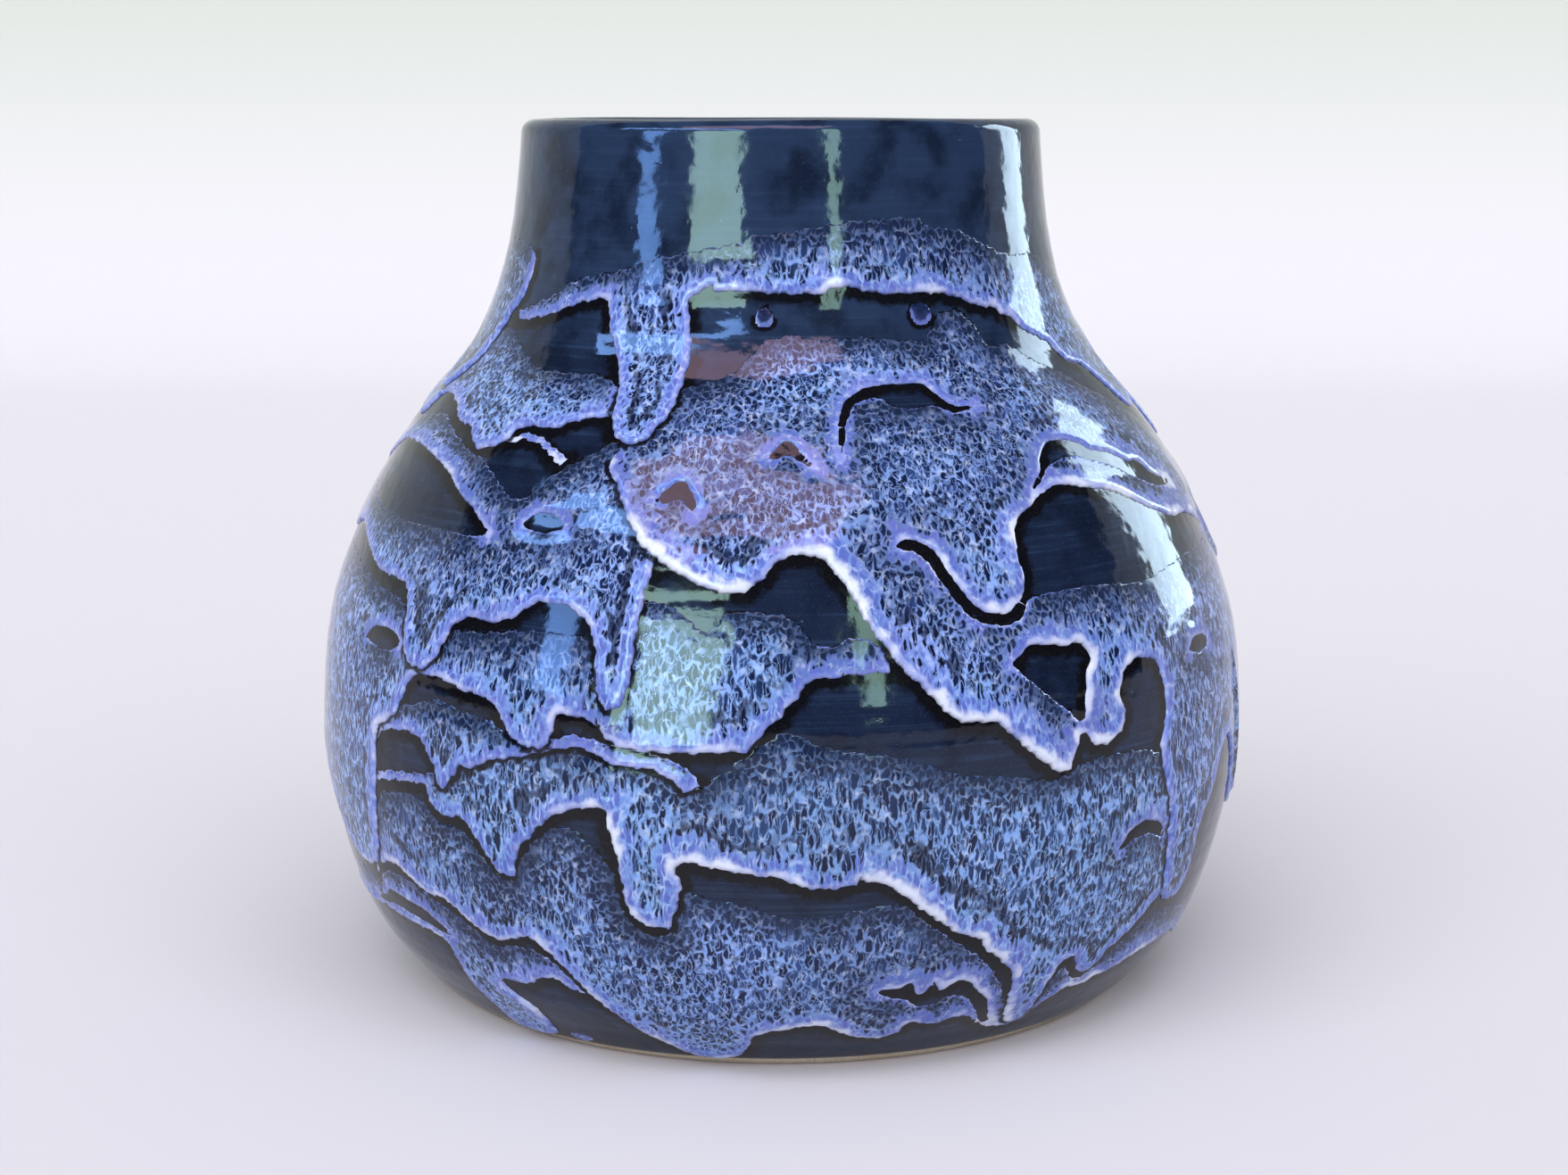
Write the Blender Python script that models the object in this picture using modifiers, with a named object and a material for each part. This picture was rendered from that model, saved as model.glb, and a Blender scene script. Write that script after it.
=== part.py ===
"""A wheel-thrown stoneware vase with poured glazes.

The clay body is one turned shell with a trimmed foot ring. A navy base glaze
coats its outside and goes over the lip, a liner glaze coats its inside, and
pale glaze was poured over the navy coat in overlapping runs. Each coat and
each run is a thin solid of its own. Metres, +Z up, origin at the centre of
the foot on the table, front toward -Y.
"""

import math

import bmesh
import bpy
from mathutils import Vector

# Driving dimensions, in metres.
HEIGHT = 0.140
FOOT_RADIUS = 0.0599
BELLY_RADIUS = 0.0761
NECK_RADIUS = 0.0421
WALL_AT_FOOT = 0.0070
WALL_AT_LIP = 0.0045
FLOOR_HEIGHT = 0.0090
FLOOR_FILLET = 0.0090
FOOT_RING_WIDTH = 0.0065
FOOT_RECESS = 0.0025
FOOT_CHAMFER = 0.0008

GLAZE = 0.0005
POUR = 0.0006
GAP = 0.0003
POUR_GAP = 0.0006
BARE_FOOT = 0.0015

# The fillet between wall and floor is a curve pulled toward a corner just
# inside the wall. Both are shares of the fillet's size.
FILLET_CORNER = 0.4
FILLET_REACH = 1.4
FILLET_STEPS = (0.35, 0.7, 1.0)

# The outside of the glazed wall, as (height, radius) from foot to lip.
OUTSIDE = (
    (0.0, FOOT_RADIUS),
    (0.0042, 0.0638),
    (0.0112, 0.0691),
    (0.0210, 0.0731),
    (0.0350, 0.0759),
    (0.0490, BELLY_RADIUS),
    (0.0630, 0.0740),
    (0.0770, 0.06895),
    (0.0868, 0.0636),
    (0.0952, 0.05755),
    (0.1036, 0.0505),
    (0.1120, 0.0464),
    (0.1232, 0.0437),
    (0.1344, 0.04245),
    (HEIGHT, NECK_RADIUS),
)

# Mesh density.
TURN_STEPS = 32
PROFILE_STEP = 0.0092
LIP_POINTS = 3
COLUMN_STEP = 6.0
ROW_STEP = 0.0090
NORMAL_REACH = 0.0008
MERGE_DISTANCE = 0.00001

# The runs' stations are in millimetres.
MM = 0.001

# The poured runs. Each station is an angle in degrees, 0 at the front and
# positive to the right, with the run's lower and upper edge there, both as
# millimetres up the wall along its surface.
RUNS = {
    "run_neck_front": (
        (-62, 121.0, 123.0), (-50, 122.5, 125.3), (-40, 125.0, 128.3), (-34, 124.0, 129.7),
        (-30, 117.5, 130.7), (-26.5, 108.0, 131.3), (-24, 102.6, 131.8), (-20, 102.2, 132.7),
        (-17.5, 108.0, 133.1), (-15.5, 119.0, 133.4), (-14, 127.2, 133.7), (0, 127.0, 136.0),
        (14, 127.4, 137.3), (28, 126.8, 137.8), (40, 124.5, 135.5), (50, 121.0, 132.8),
        (60, 114.6, 132.0), (72, 112.0, 130.0), (84, 118.0, 126.0),
    ),
    "run_neck_back": (
        (96, 121.0, 128.0), (110, 112.0, 133.0), (118, 104.5, 134.5), (123, 104.0, 135.0),
        (130, 122.0, 136.0), (150, 125.0, 137.0), (168, 119.0, 136.0), (176, 110.5, 135.4),
        (182, 110.0, 134.8), (188, 121.0, 134.0), (210, 124.5, 134.8), (240, 124.0, 136.0),
        (262, 117.0, 135.0), (284, 124.0, 134.0), (294, 127.0, 130.5),
    ),
    "run_shoulder_left": (
        (-82, 106.0, 118.5), (-70, 106.5, 119.5), (-62, 104.8, 119.0), (-54, 102.0, 117.0),
        (-49, 98.8, 115.2), (-45, 101.0, 113.8), (-41, 103.3, 113.4), (-34, 104.0, 113.4),
        (-28, 106.2, 109.5),
    ),
    "run_shoulder_low_left": (
        (-78, 97.5, 101.0), (-68, 97.0, 103.0), (-62, 96.3, 102.0), (-54, 94.3, 99.5),
        (-50, 92.6, 97.2), (-46, 90.5, 96.6), (-42, 87.6, 94.0), (-38, 85.8, 91.0),
    ),
    "run_upper_belly_left": (
        (-84, 81.0, 86.5), (-72, 80.0, 86.0), (-62, 77.0, 85.0), (-54, 76.0, 85.0),
        (-50, 74.4, 84.8), (-46, 76.0, 84.5), (-41, 72.4, 83.8), (-38.5, 73.0, 83.5),
        (-35, 73.0, 88.0), (-31, 75.2, 95.0), (-26, 76.4, 98.5), (-24, 75.5, 97.5),
        (-21.5, 72.5, 92.0),
    ),
    "run_shoulder_front": (
        (-21, 93.5, 100.6), (-19, 89.5, 102.0), (-16, 85.2, 111.0), (-12, 82.0, 113.0),
        (-7, 79.5, 115.5), (-4, 79.8, 118.5), (-1, 83.0, 120.2), (3, 84.8, 120.7), (6, 83.0, 120.3),
        (9, 77.0, 120.2), (12, 71.0, 120.2), (15, 66.2, 120.1), (18, 62.5, 120.0),
        (19.8, 82.5, 119.8), (24, 75.8, 119.6), (28, 75.6, 120.8), (30.4, 87.5, 122.8),
        (34, 91.8, 124.0), (38, 96.0, 121.3), (41, 100.0, 118.8), (48, 99.6, 115.8),
        (60, 95.2, 109.5), (72, 90.0, 103.0),
    ),
    "run_shoulder_right": (
        (37.5, 92.6, 94.8), (41, 93.2, 98.8), (48, 91.6, 98.2), (56, 88.0, 94.8),
        (64, 84.6, 90.5), (74, 82.0, 87.5), (86, 80.0, 84.0),
    ),
    "run_shoulder_back": (
        (88, 92.0, 106.0), (100, 86.0, 111.0), (108, 76.0, 102.5), (114, 74.5, 102.3),
        (126, 90.0, 102.0), (134, 91.0, 118.0), (146, 82.0, 120.0), (152, 70.0, 118.5),
        (158, 69.0, 117.5), (164, 86.0, 116.5), (180, 90.0, 107.0), (196, 84.0, 116.0),
        (204, 75.0, 119.0), (210, 75.5, 120.0), (217, 89.0, 121.0), (236, 93.0, 121.0),
        (250, 86.0, 118.0), (262, 90.0, 112.0), (270, 96.0, 106.0),
    ),
    "run_belly_left": (
        (-53.5, 55.0, 73.2), (-50, 56.0, 72.2), (-47, 62.5, 71.4), (-42, 63.2, 70.4),
        (-38, 62.0, 70.6), (-34, 61.0, 71.3), (-31, 57.0, 72.0), (-28, 55.5, 72.2),
        (-25.4, 59.5, 72.0), (-22, 60.0, 69.0),
    ),
    "run_belly_front": (
        (-20, 59.5, 66.0), (-18, 57.2, 70.0), (-14, 56.8, 74.0), (-8, 57.0, 76.0),
        (-4, 57.2, 76.7), (0, 62.0, 76.3), (3, 66.5, 74.4), (6, 67.6, 72.4),
        (10, 67.8, 72.2),
    ),
    "run_belly_right": (
        (20, 60.0, 73.0), (24, 60.0, 74.6), (26.5, 67.5, 74.4), (29, 70.0, 75.0),
        (31, 70.0, 77.3), (36, 69.5, 77.5), (37.2, 57.5, 77.5), (38.5, 54.0, 77.5),
        (41, 55.5, 77.5), (42.5, 62.0, 77.4), (46, 65.5, 77.2), (50, 59.0, 76.8),
        (52, 56.0, 76.2), (64, 58.5, 75.0), (76, 60.0, 74.0), (84, 63.0, 72.0),
    ),
    "run_belly_back": (
        (92, 38.0, 68.0), (98, 30.0, 71.0), (106, 28.0, 73.0), (116, 44.0, 72.0),
        (130, 50.0, 80.0), (142, 44.0, 74.0), (150, 40.0, 67.5), (160, 39.5, 67.0),
        (170, 35.0, 76.0), (180, 33.0, 81.0), (192, 41.0, 78.0), (204, 47.0, 72.5),
        (216, 42.0, 73.0), (228, 36.0, 80.0), (240, 43.0, 82.0), (252, 49.0, 80.0),
        (262, 52.0, 76.0),
    ),
    "run_side_left": (
        (-94, 40.0, 66.0), (-86, 36.0, 74.0), (-78, 38.0, 77.0), (-70, 34.0, 77.0),
        (-62, 31.0, 75.0), (-57, 32.0, 74.2), (-55.2, 39.0, 73.8),
    ),
    "run_middle": (
        (-51, 46.0, 47.8), (-44, 45.5, 48.8), (-41.5, 43.0, 49.5), (-37, 42.0, 51.5),
        (-34, 37.0, 52.0), (-31.5, 35.5, 52.7), (-30, 40.0, 53.2), (-26, 45.3, 54.2),
        (-20, 47.6, 55.4), (-18.6, 45.0, 55.4), (-17.3, 35.0, 55.4), (-15, 30.3, 55.3),
        (-12.8, 30.0, 55.2), (-11, 37.0, 55.2), (-9, 40.6, 55.3), (-4, 39.3, 55.4),
        (0, 38.6, 59.0), (5, 37.0, 57.6), (12, 36.8, 56.0), (16, 32.5, 54.5),
        (20, 28.5, 52.6), (25, 24.0, 51.8), (28, 20.5, 51.0), (30, 17.5, 50.4),
        (33, 24.5, 50.6), (36, 25.0, 51.6), (41, 25.5, 52.0), (48, 25.5, 50.2),
    ),
    "run_side_right": (
        (50, 46.0, 54.0), (51.5, 36.0, 54.4), (53, 27.0, 54.8), (56, 25.1, 55.4),
        (59.5, 26.0, 56.2), (61, 37.0, 56.8), (66, 46.0, 57.4), (76, 44.0, 58.6),
        (88, 46.0, 58.0),
    ),
    "run_lower_left": (
        (-54, 31.6, 43.5), (-50, 30.7, 44.8), (-46, 28.8, 44.4), (-42, 28.2, 41.6),
        (-38, 25.2, 41.0), (-34.5, 24.2, 36.2), (-32, 24.9, 34.0), (-29.5, 25.2, 38.5),
        (-26, 21.2, 43.5), (-23, 16.0, 44.0), (-20, 11.4, 41.0),
    ),
    "run_foot_left": (
        (-72, 20.0, 28.0), (-60, 21.3, 23.5), (-55, 21.5, 30.5), (-50, 21.1, 29.8),
        (-45, 19.6, 27.2), (-44, 13.0, 27.8), (-42, 5.2, 27.2), (-40, 2.8, 25.8),
        (-36, 2.6, 23.2), (-33.4, 6.0, 23.2), (-32.4, 15.5, 23.8), (-30, 18.2, 24.2),
        (-27, 17.6, 21.2),
    ),
    "run_foot_front": (
        (-19.3, 10.6, 37.5), (-17.6, 8.8, 31.0), (-14, 5.2, 29.2), (-12, 3.5, 29.4),
        (-9.5, 2.6, 35.6), (-6.5, 3.2, 35.0), (-3.6, 8.8, 34.2), (0, 11.6, 32.5),
        (4, 12.7, 32.3), (8, 10.2, 33.3), (13, 8.4, 33.7), (16, 11.7, 31.5),
        (20, 10.9, 27.6), (24, 11.4, 24.0), (28, 7.3, 19.6), (30, 6.6, 16.6),
        (32, 6.4, 20.5), (36, 10.2, 24.0), (40, 12.8, 24.5), (50, 14.8, 24.4),
        (60, 15.8, 23.8), (70, 14.0, 27.0), (80, 16.5, 29.0), (88, 20.0, 27.0),
    ),
    "run_foot_back": (
        (112, 16.0, 24.0), (124, 10.0, 30.0), (132, 4.5, 32.0), (138, 5.0, 33.0),
        (146, 14.0, 33.5), (160, 17.0, 33.0), (172, 11.0, 28.0), (182, 6.0, 26.0),
        (190, 7.0, 30.0), (200, 15.0, 36.0), (214, 18.0, 34.0), (224, 8.0, 31.0),
        (230, 3.5, 32.0), (236, 5.0, 34.0), (246, 15.0, 38.0), (258, 18.0, 34.0),
        (270, 22.0, 28.0),
    ),
}

MATERIALS = {
    "stoneware_clay": ((0.60, 0.47, 0.32), 0.85),
    "navy_glaze": ((0.010, 0.013, 0.035), 0.12),
    "liner_glaze": ((0.012, 0.016, 0.040), 0.15),
    "pale_glaze": ((0.30, 0.38, 0.68), 0.16),
}


def clear_scene():
    """Remove the objects of the open scene."""
    for obj in list(bpy.data.objects):
        bpy.data.objects.remove(obj, do_unlink=True)


def make_collection(name):
    """Make the collection that holds the vase's parts."""
    collection = bpy.data.collections.new(name)
    bpy.context.scene.collection.children.link(collection)
    return collection


def make_material(name):
    """Make one plain Principled material from its colour and roughness."""
    colour, roughness = MATERIALS[name]
    material = bpy.data.materials.new(name)
    material.use_nodes = True
    shader = material.node_tree.nodes["Principled BSDF"]
    shader.inputs["Base Color"].default_value = (*colour, 1.0)
    shader.inputs["Roughness"].default_value = roughness
    shader.inputs["Metallic"].default_value = 0.0
    return material


def spline(knots, per_span=12):
    """A smooth (radius, height) path through (height, radius) knots."""
    points = [Vector((radius, height)) for height, radius in knots]
    points = [2 * points[0] - points[1], *points, 2 * points[-1] - points[-2]]
    path = []
    for a, b, c, d in zip(points, points[1:], points[2:], points[3:]):
        for i in range(per_span):
            t = i / per_span
            path.append(0.5 * (2 * b + (c - a) * t + (2 * a - 5 * b + 4 * c - d) * t**2
                               + (3 * b - a - 3 * c + d) * t**3))
    return [*path, points[-2]]


def lengths(path):
    """The distance from the path's start to each of its points."""
    total = [0.0]
    for a, b in zip(path, path[1:]):
        total.append(total[-1] + (b - a).length)
    return total


def point_at(path, total, distance):
    """The point that lies a given distance along the path."""
    i = 1
    while i < len(total) - 1 and total[i] < distance:
        i += 1
    share = (distance - total[i - 1]) / (total[i] - total[i - 1])
    return path[i - 1].lerp(path[i], share)


def normal_at(path, total, distance):
    """The outward direction at a distance along the path."""
    low = max(distance - NORMAL_REACH, 0.0)
    high = min(distance + NORMAL_REACH, total[-1])
    along = (point_at(path, total, high) - point_at(path, total, low)).normalized()
    return Vector((along.y, -along.x))


WALL = spline(OUTSIDE)
WALL_LENGTHS = lengths(WALL)
LIP_ROUND = WALL_AT_LIP / 2
WALL_END = WALL_LENGTHS[-1] - LIP_ROUND
STATIONS = [WALL_END - PROFILE_STEP * i for i in range(int(WALL_END / PROFILE_STEP))]


def wall_point(distance, out=0.0):
    """A point (radius, height) up the wall, raised off it by out."""
    place = point_at(WALL, WALL_LENGTHS, distance)
    return place + normal_at(WALL, WALL_LENGTHS, distance) * out


def outside_path(start, out):
    """The outside from the lip down to start, raised by out."""
    return [wall_point(distance, out) for distance in (*STATIONS, start)]


def lip_path(out):
    """The half round over the lip from inside to outside, without its ends."""
    centre = wall_point(WALL_END, -LIP_ROUND)
    turns = [math.pi * (1 - (i + 1) / (LIP_POINTS + 1)) for i in range(LIP_POINTS)]
    return [centre + Vector((math.cos(a), math.sin(a))) * (LIP_ROUND + out) for a in turns]


def inside_point(distance, out):
    """A point of the inside, across the wall from a distance up it."""
    wall = WALL_AT_FOOT + (WALL_AT_LIP - WALL_AT_FOOT) * distance / WALL_END
    return wall_point(distance, -wall - out)


def inside_path(first, out):
    """The inside from the floor's centre up to one of the stations."""
    points = [inside_point(distance, out) for distance in STATIONS[first:]]
    points = [place for place in points if place.y > FLOOR_HEIGHT + FLOOR_FILLET]
    top = points[-1]
    corner = Vector((top.x - FILLET_CORNER * FLOOR_FILLET, FLOOR_HEIGHT + out))
    end = corner - Vector((FILLET_REACH * FLOOR_FILLET, 0.0))
    for t in FILLET_STEPS:
        points.append(top * (1 - t) ** 2 + corner * 2 * t * (1 - t) + end * t**2)
    points.append(Vector((end.x / 2, FLOOR_HEIGHT + out)))
    points.append(Vector((0.0, FLOOR_HEIGHT + out)))
    return points[::-1]


def turn(name, path, material, collection):
    """Turn a (radius, height) path round the Z axis into an object."""
    mesh = bpy.data.meshes.new(name)
    verts = [(point.x, 0.0, point.y) for point in path]
    edges = [(i, i + 1) for i in range(len(path) - 1)]
    mesh.from_pydata(verts, edges, [])
    obj = bpy.data.objects.new(name, mesh)
    obj.data.materials.append(material)
    collection.objects.link(obj)
    screw = obj.modifiers.new("Turn", "SCREW")
    screw.axis = "Z"
    screw.angle = math.tau
    screw.steps = TURN_STEPS
    screw.render_steps = TURN_STEPS
    screw.use_merge_vertices = True
    screw.merge_threshold = MERGE_DISTANCE
    screw.use_smooth_shade = True
    return obj


def thicken(obj, thickness, offset):
    """Give an open surface a thickness, inward with -1 and outward with 1."""
    solid = obj.modifiers.new("Coat", "SOLIDIFY")
    solid.thickness = thickness
    solid.offset = offset
    solid.use_even_offset = True


def build_clay_body(collection):
    """The thrown shell: inside, lip, outside and trimmed foot ring."""
    sunk = -(GLAZE + GAP)
    outside = outside_path(FOOT_CHAMFER, sunk)
    edge = outside[-1].x
    ring = edge - FOOT_RING_WIDTH
    underside = [
        Vector((edge - FOOT_CHAMFER, 0.0)),
        Vector((ring, 0.0)),
        Vector((ring - FOOT_RECESS, FOOT_RECESS)),
        Vector((ring / 2, FOOT_RECESS)),
        Vector((0.0, FOOT_RECESS)),
    ]
    path = [*inside_path(0, sunk), *lip_path(sunk), *outside, *underside]
    turn("clay_body", path, make_material("stoneware_clay"), collection)


def build_base_glaze(collection):
    """The navy coat, from just above the foot over the lip."""
    end = inside_point(STATIONS[1] + GAP, 0.0)
    path = [end, inside_point(WALL_END, 0.0), *lip_path(0.0), *outside_path(BARE_FOOT, 0.0)]
    coat = turn("base_glaze", path, make_material("navy_glaze"), collection)
    thicken(coat, GLAZE, -1.0)


def build_liner_glaze(collection):
    """The coat of the inside, from below the navy coat's edge to the floor."""
    path = inside_path(1, 0.0)
    coat = turn("liner_glaze", path, make_material("liner_glaze"), collection)
    thicken(coat, GLAZE, -1.0)


def columns(stations):
    """The stations with further ones between those that lie far apart."""
    out = [stations[0]]
    for a, b in zip(stations, stations[1:]):
        count = math.ceil((b[0] - a[0]) / COLUMN_STEP)
        for i in range(1, count + 1):
            share = i / count
            out.append(tuple(p + (q - p) * share for p, q in zip(a, b)))
    return out


def build_run(name, stations, material, collection):
    """One poured run: a grid laid round the wall and thickened outward."""
    lines = columns(stations)
    tallest = max(upper - lower for _, lower, upper in lines) * MM
    rows = math.ceil(tallest / ROW_STEP)
    work = bmesh.new()
    bmesh.ops.create_grid(work, x_segments=len(lines) - 1, y_segments=rows, size=1.0)
    for vert in work.verts:
        column = round((vert.co.x + 1) / 2 * (len(lines) - 1))
        angle, lower, upper = lines[column]
        up = (lower + (upper - lower) * (vert.co.y + 1) / 2) * MM
        place = wall_point(up, POUR_GAP)
        turned = math.radians(angle)
        vert.co = (place.x * math.sin(turned), -place.x * math.cos(turned), place.y)
    mesh = bpy.data.meshes.new(name)
    work.to_mesh(mesh)
    work.free()
    mesh.shade_smooth()
    run = bpy.data.objects.new(name, mesh)
    run.data.materials.append(material)
    collection.objects.link(run)
    thicken(run, POUR, 1.0)


def main():
    """Build the vase."""
    clear_scene()
    vase = make_collection("stoneware_vase")
    build_clay_body(vase)
    build_base_glaze(vase)
    build_liner_glaze(vase)
    pale = make_material("pale_glaze")
    for name, stations in RUNS.items():
        build_run(name, stations, pale, vase)


main()
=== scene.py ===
"""Poured-glaze stoneware vase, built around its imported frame.

A navy glaze coats the thrown body, and a pale glaze was poured over it in
overlapping runs. Each run has a soft, lacy upper edge and a hard, beaded
lower edge. Angles are in degrees, 0 at the front and positive to the right,
and places on the wall are in millimetres up it along its surface.
"""

import math

import bmesh
import bpy
import numpy as np
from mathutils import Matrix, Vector
from mathutils.kdtree import KDTree


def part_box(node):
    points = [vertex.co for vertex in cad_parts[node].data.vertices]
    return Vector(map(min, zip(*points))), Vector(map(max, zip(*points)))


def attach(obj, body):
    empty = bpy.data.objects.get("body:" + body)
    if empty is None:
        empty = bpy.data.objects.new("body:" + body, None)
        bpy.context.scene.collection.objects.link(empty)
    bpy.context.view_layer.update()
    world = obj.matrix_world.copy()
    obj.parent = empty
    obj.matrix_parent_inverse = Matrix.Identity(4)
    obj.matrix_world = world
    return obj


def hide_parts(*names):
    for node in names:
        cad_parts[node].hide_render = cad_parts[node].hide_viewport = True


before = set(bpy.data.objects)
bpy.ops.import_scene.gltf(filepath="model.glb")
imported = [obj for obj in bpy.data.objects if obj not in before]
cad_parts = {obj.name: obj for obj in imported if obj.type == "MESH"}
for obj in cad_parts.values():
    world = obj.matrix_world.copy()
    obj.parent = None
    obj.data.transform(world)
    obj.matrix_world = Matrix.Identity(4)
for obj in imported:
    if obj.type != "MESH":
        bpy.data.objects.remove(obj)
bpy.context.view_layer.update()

bl_info = {
    "name": "Poured Glaze Vase",
    "version": (1, 0, 0),
    "blender": (4, 5, 0),
    "location": "3D View > Sidebar > Vase",
    "description": "Builds a thrown stoneware vase with poured glazes around its packed frame",
    "category": "Object",
}

# Sizes below are in millimetres, and MM turns them into the frame's metres.
MM = 0.001
COAT_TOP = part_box("base_glaze")[1]
HEIGHT = COAT_TOP.z / MM
BELLY_RADIUS = COAT_TOP.x / MM

# The outside of the glazed wall, as shares of the height and the belly's radius.
OUTSIDE = (
    (0.0, 0.785), (0.030, 0.836), (0.080, 0.9056), (0.150, 0.958), (0.250, 0.9948),
    (0.350, 0.9974), (0.450, 0.9699), (0.550, 0.9037), (0.620, 0.8336), (0.680, 0.7543),
    (0.740, 0.6619), (0.800, 0.6081), (0.880, 0.5727), (0.960, 0.5564), (1.0, 0.5518),
)
OUTSIDE_POINTS = 40     # points of the curve between two of these

# The wall's thickness, the floor, the trimmed foot and the coats on the clay.
WALL_AT_FOOT = 7.0
WALL_AT_LIP = 4.5
FLOOR_TOP = 9.0
FLOOR_FILLET = 9.0
GLAZE = 0.5
CLAY_SUNK = 0.8
BARE_FOOT = 1.5
FOOT_CHAMFER = 0.8
FOOT_RING_WIDTH = 6.5
FOOT_RECESS = 2.5
INNER_LAP = 9.0         # how far the navy coat comes down the inside
LAP = 0.5               # how far the inner glaze laps over the navy coat
LAP_LIFT = 0.06         # how far it stands proud there
COAT_EDGE = 0.05        # thickness that is left at the coat's lower edge
FOOT_ROUND = 1.1        # how far up the coat's lower edge is rounded
RUN_SKIN = 0.3          # depth of a run's skin, mostly sunk in the glaze below
ROUND_STEP = 1.5        # degrees between the columns of the clay and the inner glaze
LAST_RING = 0.6         # radius of the smallest ring, which one face closes

# The marks of throwing: rings, a body slightly out of round, dents and the fingers' spiral.
# The waves of the outside come in and go out over two stretches of the way up the wall.
RING_DEPTH = 0.013
FINE_RING_DEPTH = 0.004
OUT_OF_ROUND = 0.16
OUT_OF_OVAL = 0.10
DENT_DEPTH = 0.05
WAVES_START = (1.0, 12.0)
WAVES_END = (138.0, 148.0)
SPIRAL_DEPTH = 0.28
SPIRAL_PITCH = 7.5

# The grid of the wall that the poured runs are cut from, with its columns in degrees.
FINE_STEP = 0.42        # between columns from -FINE_REACH to FINE_REACH
COARSE_STEP = 0.6       # between the other columns
FINE_REACH = 80.0
FIRST_ANGLE = -100.0
ROW_STEP = 0.5
GRID_MARGIN = 2.5       # degrees and millimetres of grid beyond a run's outline
SAMPLE = 0.15           # between samples along the runs' lines
FAR = 30.0              # distance that stands for no run near
SUNK_EDGE = -0.05       # height of a run's hard edge above what it lies on
SOFT_EDGE = -0.004      # the same at its soft top
UNDERLAP = 1.3          # how far a run goes on under the run above it

# How far the runs' lines waver: soft tops, hard edges and the two lines of a window.
SOFT_WAVER = 0.16
HARD_WAVER = 0.12
WINDOW_HARD_WAVER = 0.06
WINDOW_SOFT_WAVER = 0.08

# How thick a run lies. Under its soft top come a film, a veil and then its body, each
# over a reach of its own, and along its hard edge stands a bead with a rounded rim.
FILM = 0.02
FILM_REACH = 0.8
VEIL = 0.06
VEIL_REACH = 3.0
BODY_REACH = 9.0
BEAD_RISE = (0.2, 3.5)
BEAD_WIDTH = 0.9
BEAD_FADE = 1.9
RIM_ROUND = 0.8

# How white a bead is: its least, and its share where the edge runs upright.
LEAST_WHITE = 0.25
UPRIGHT_WHITE = 0.72
WHITE_BLUR = 3          # grid points over which it is smoothed

# How far painted shade darkens the navy glaze below a hard edge, on the coat and on another run.
EDGE_SHADE_ON_COAT = 2.3
EDGE_SHADE_ON_RUN = 1.0
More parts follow.
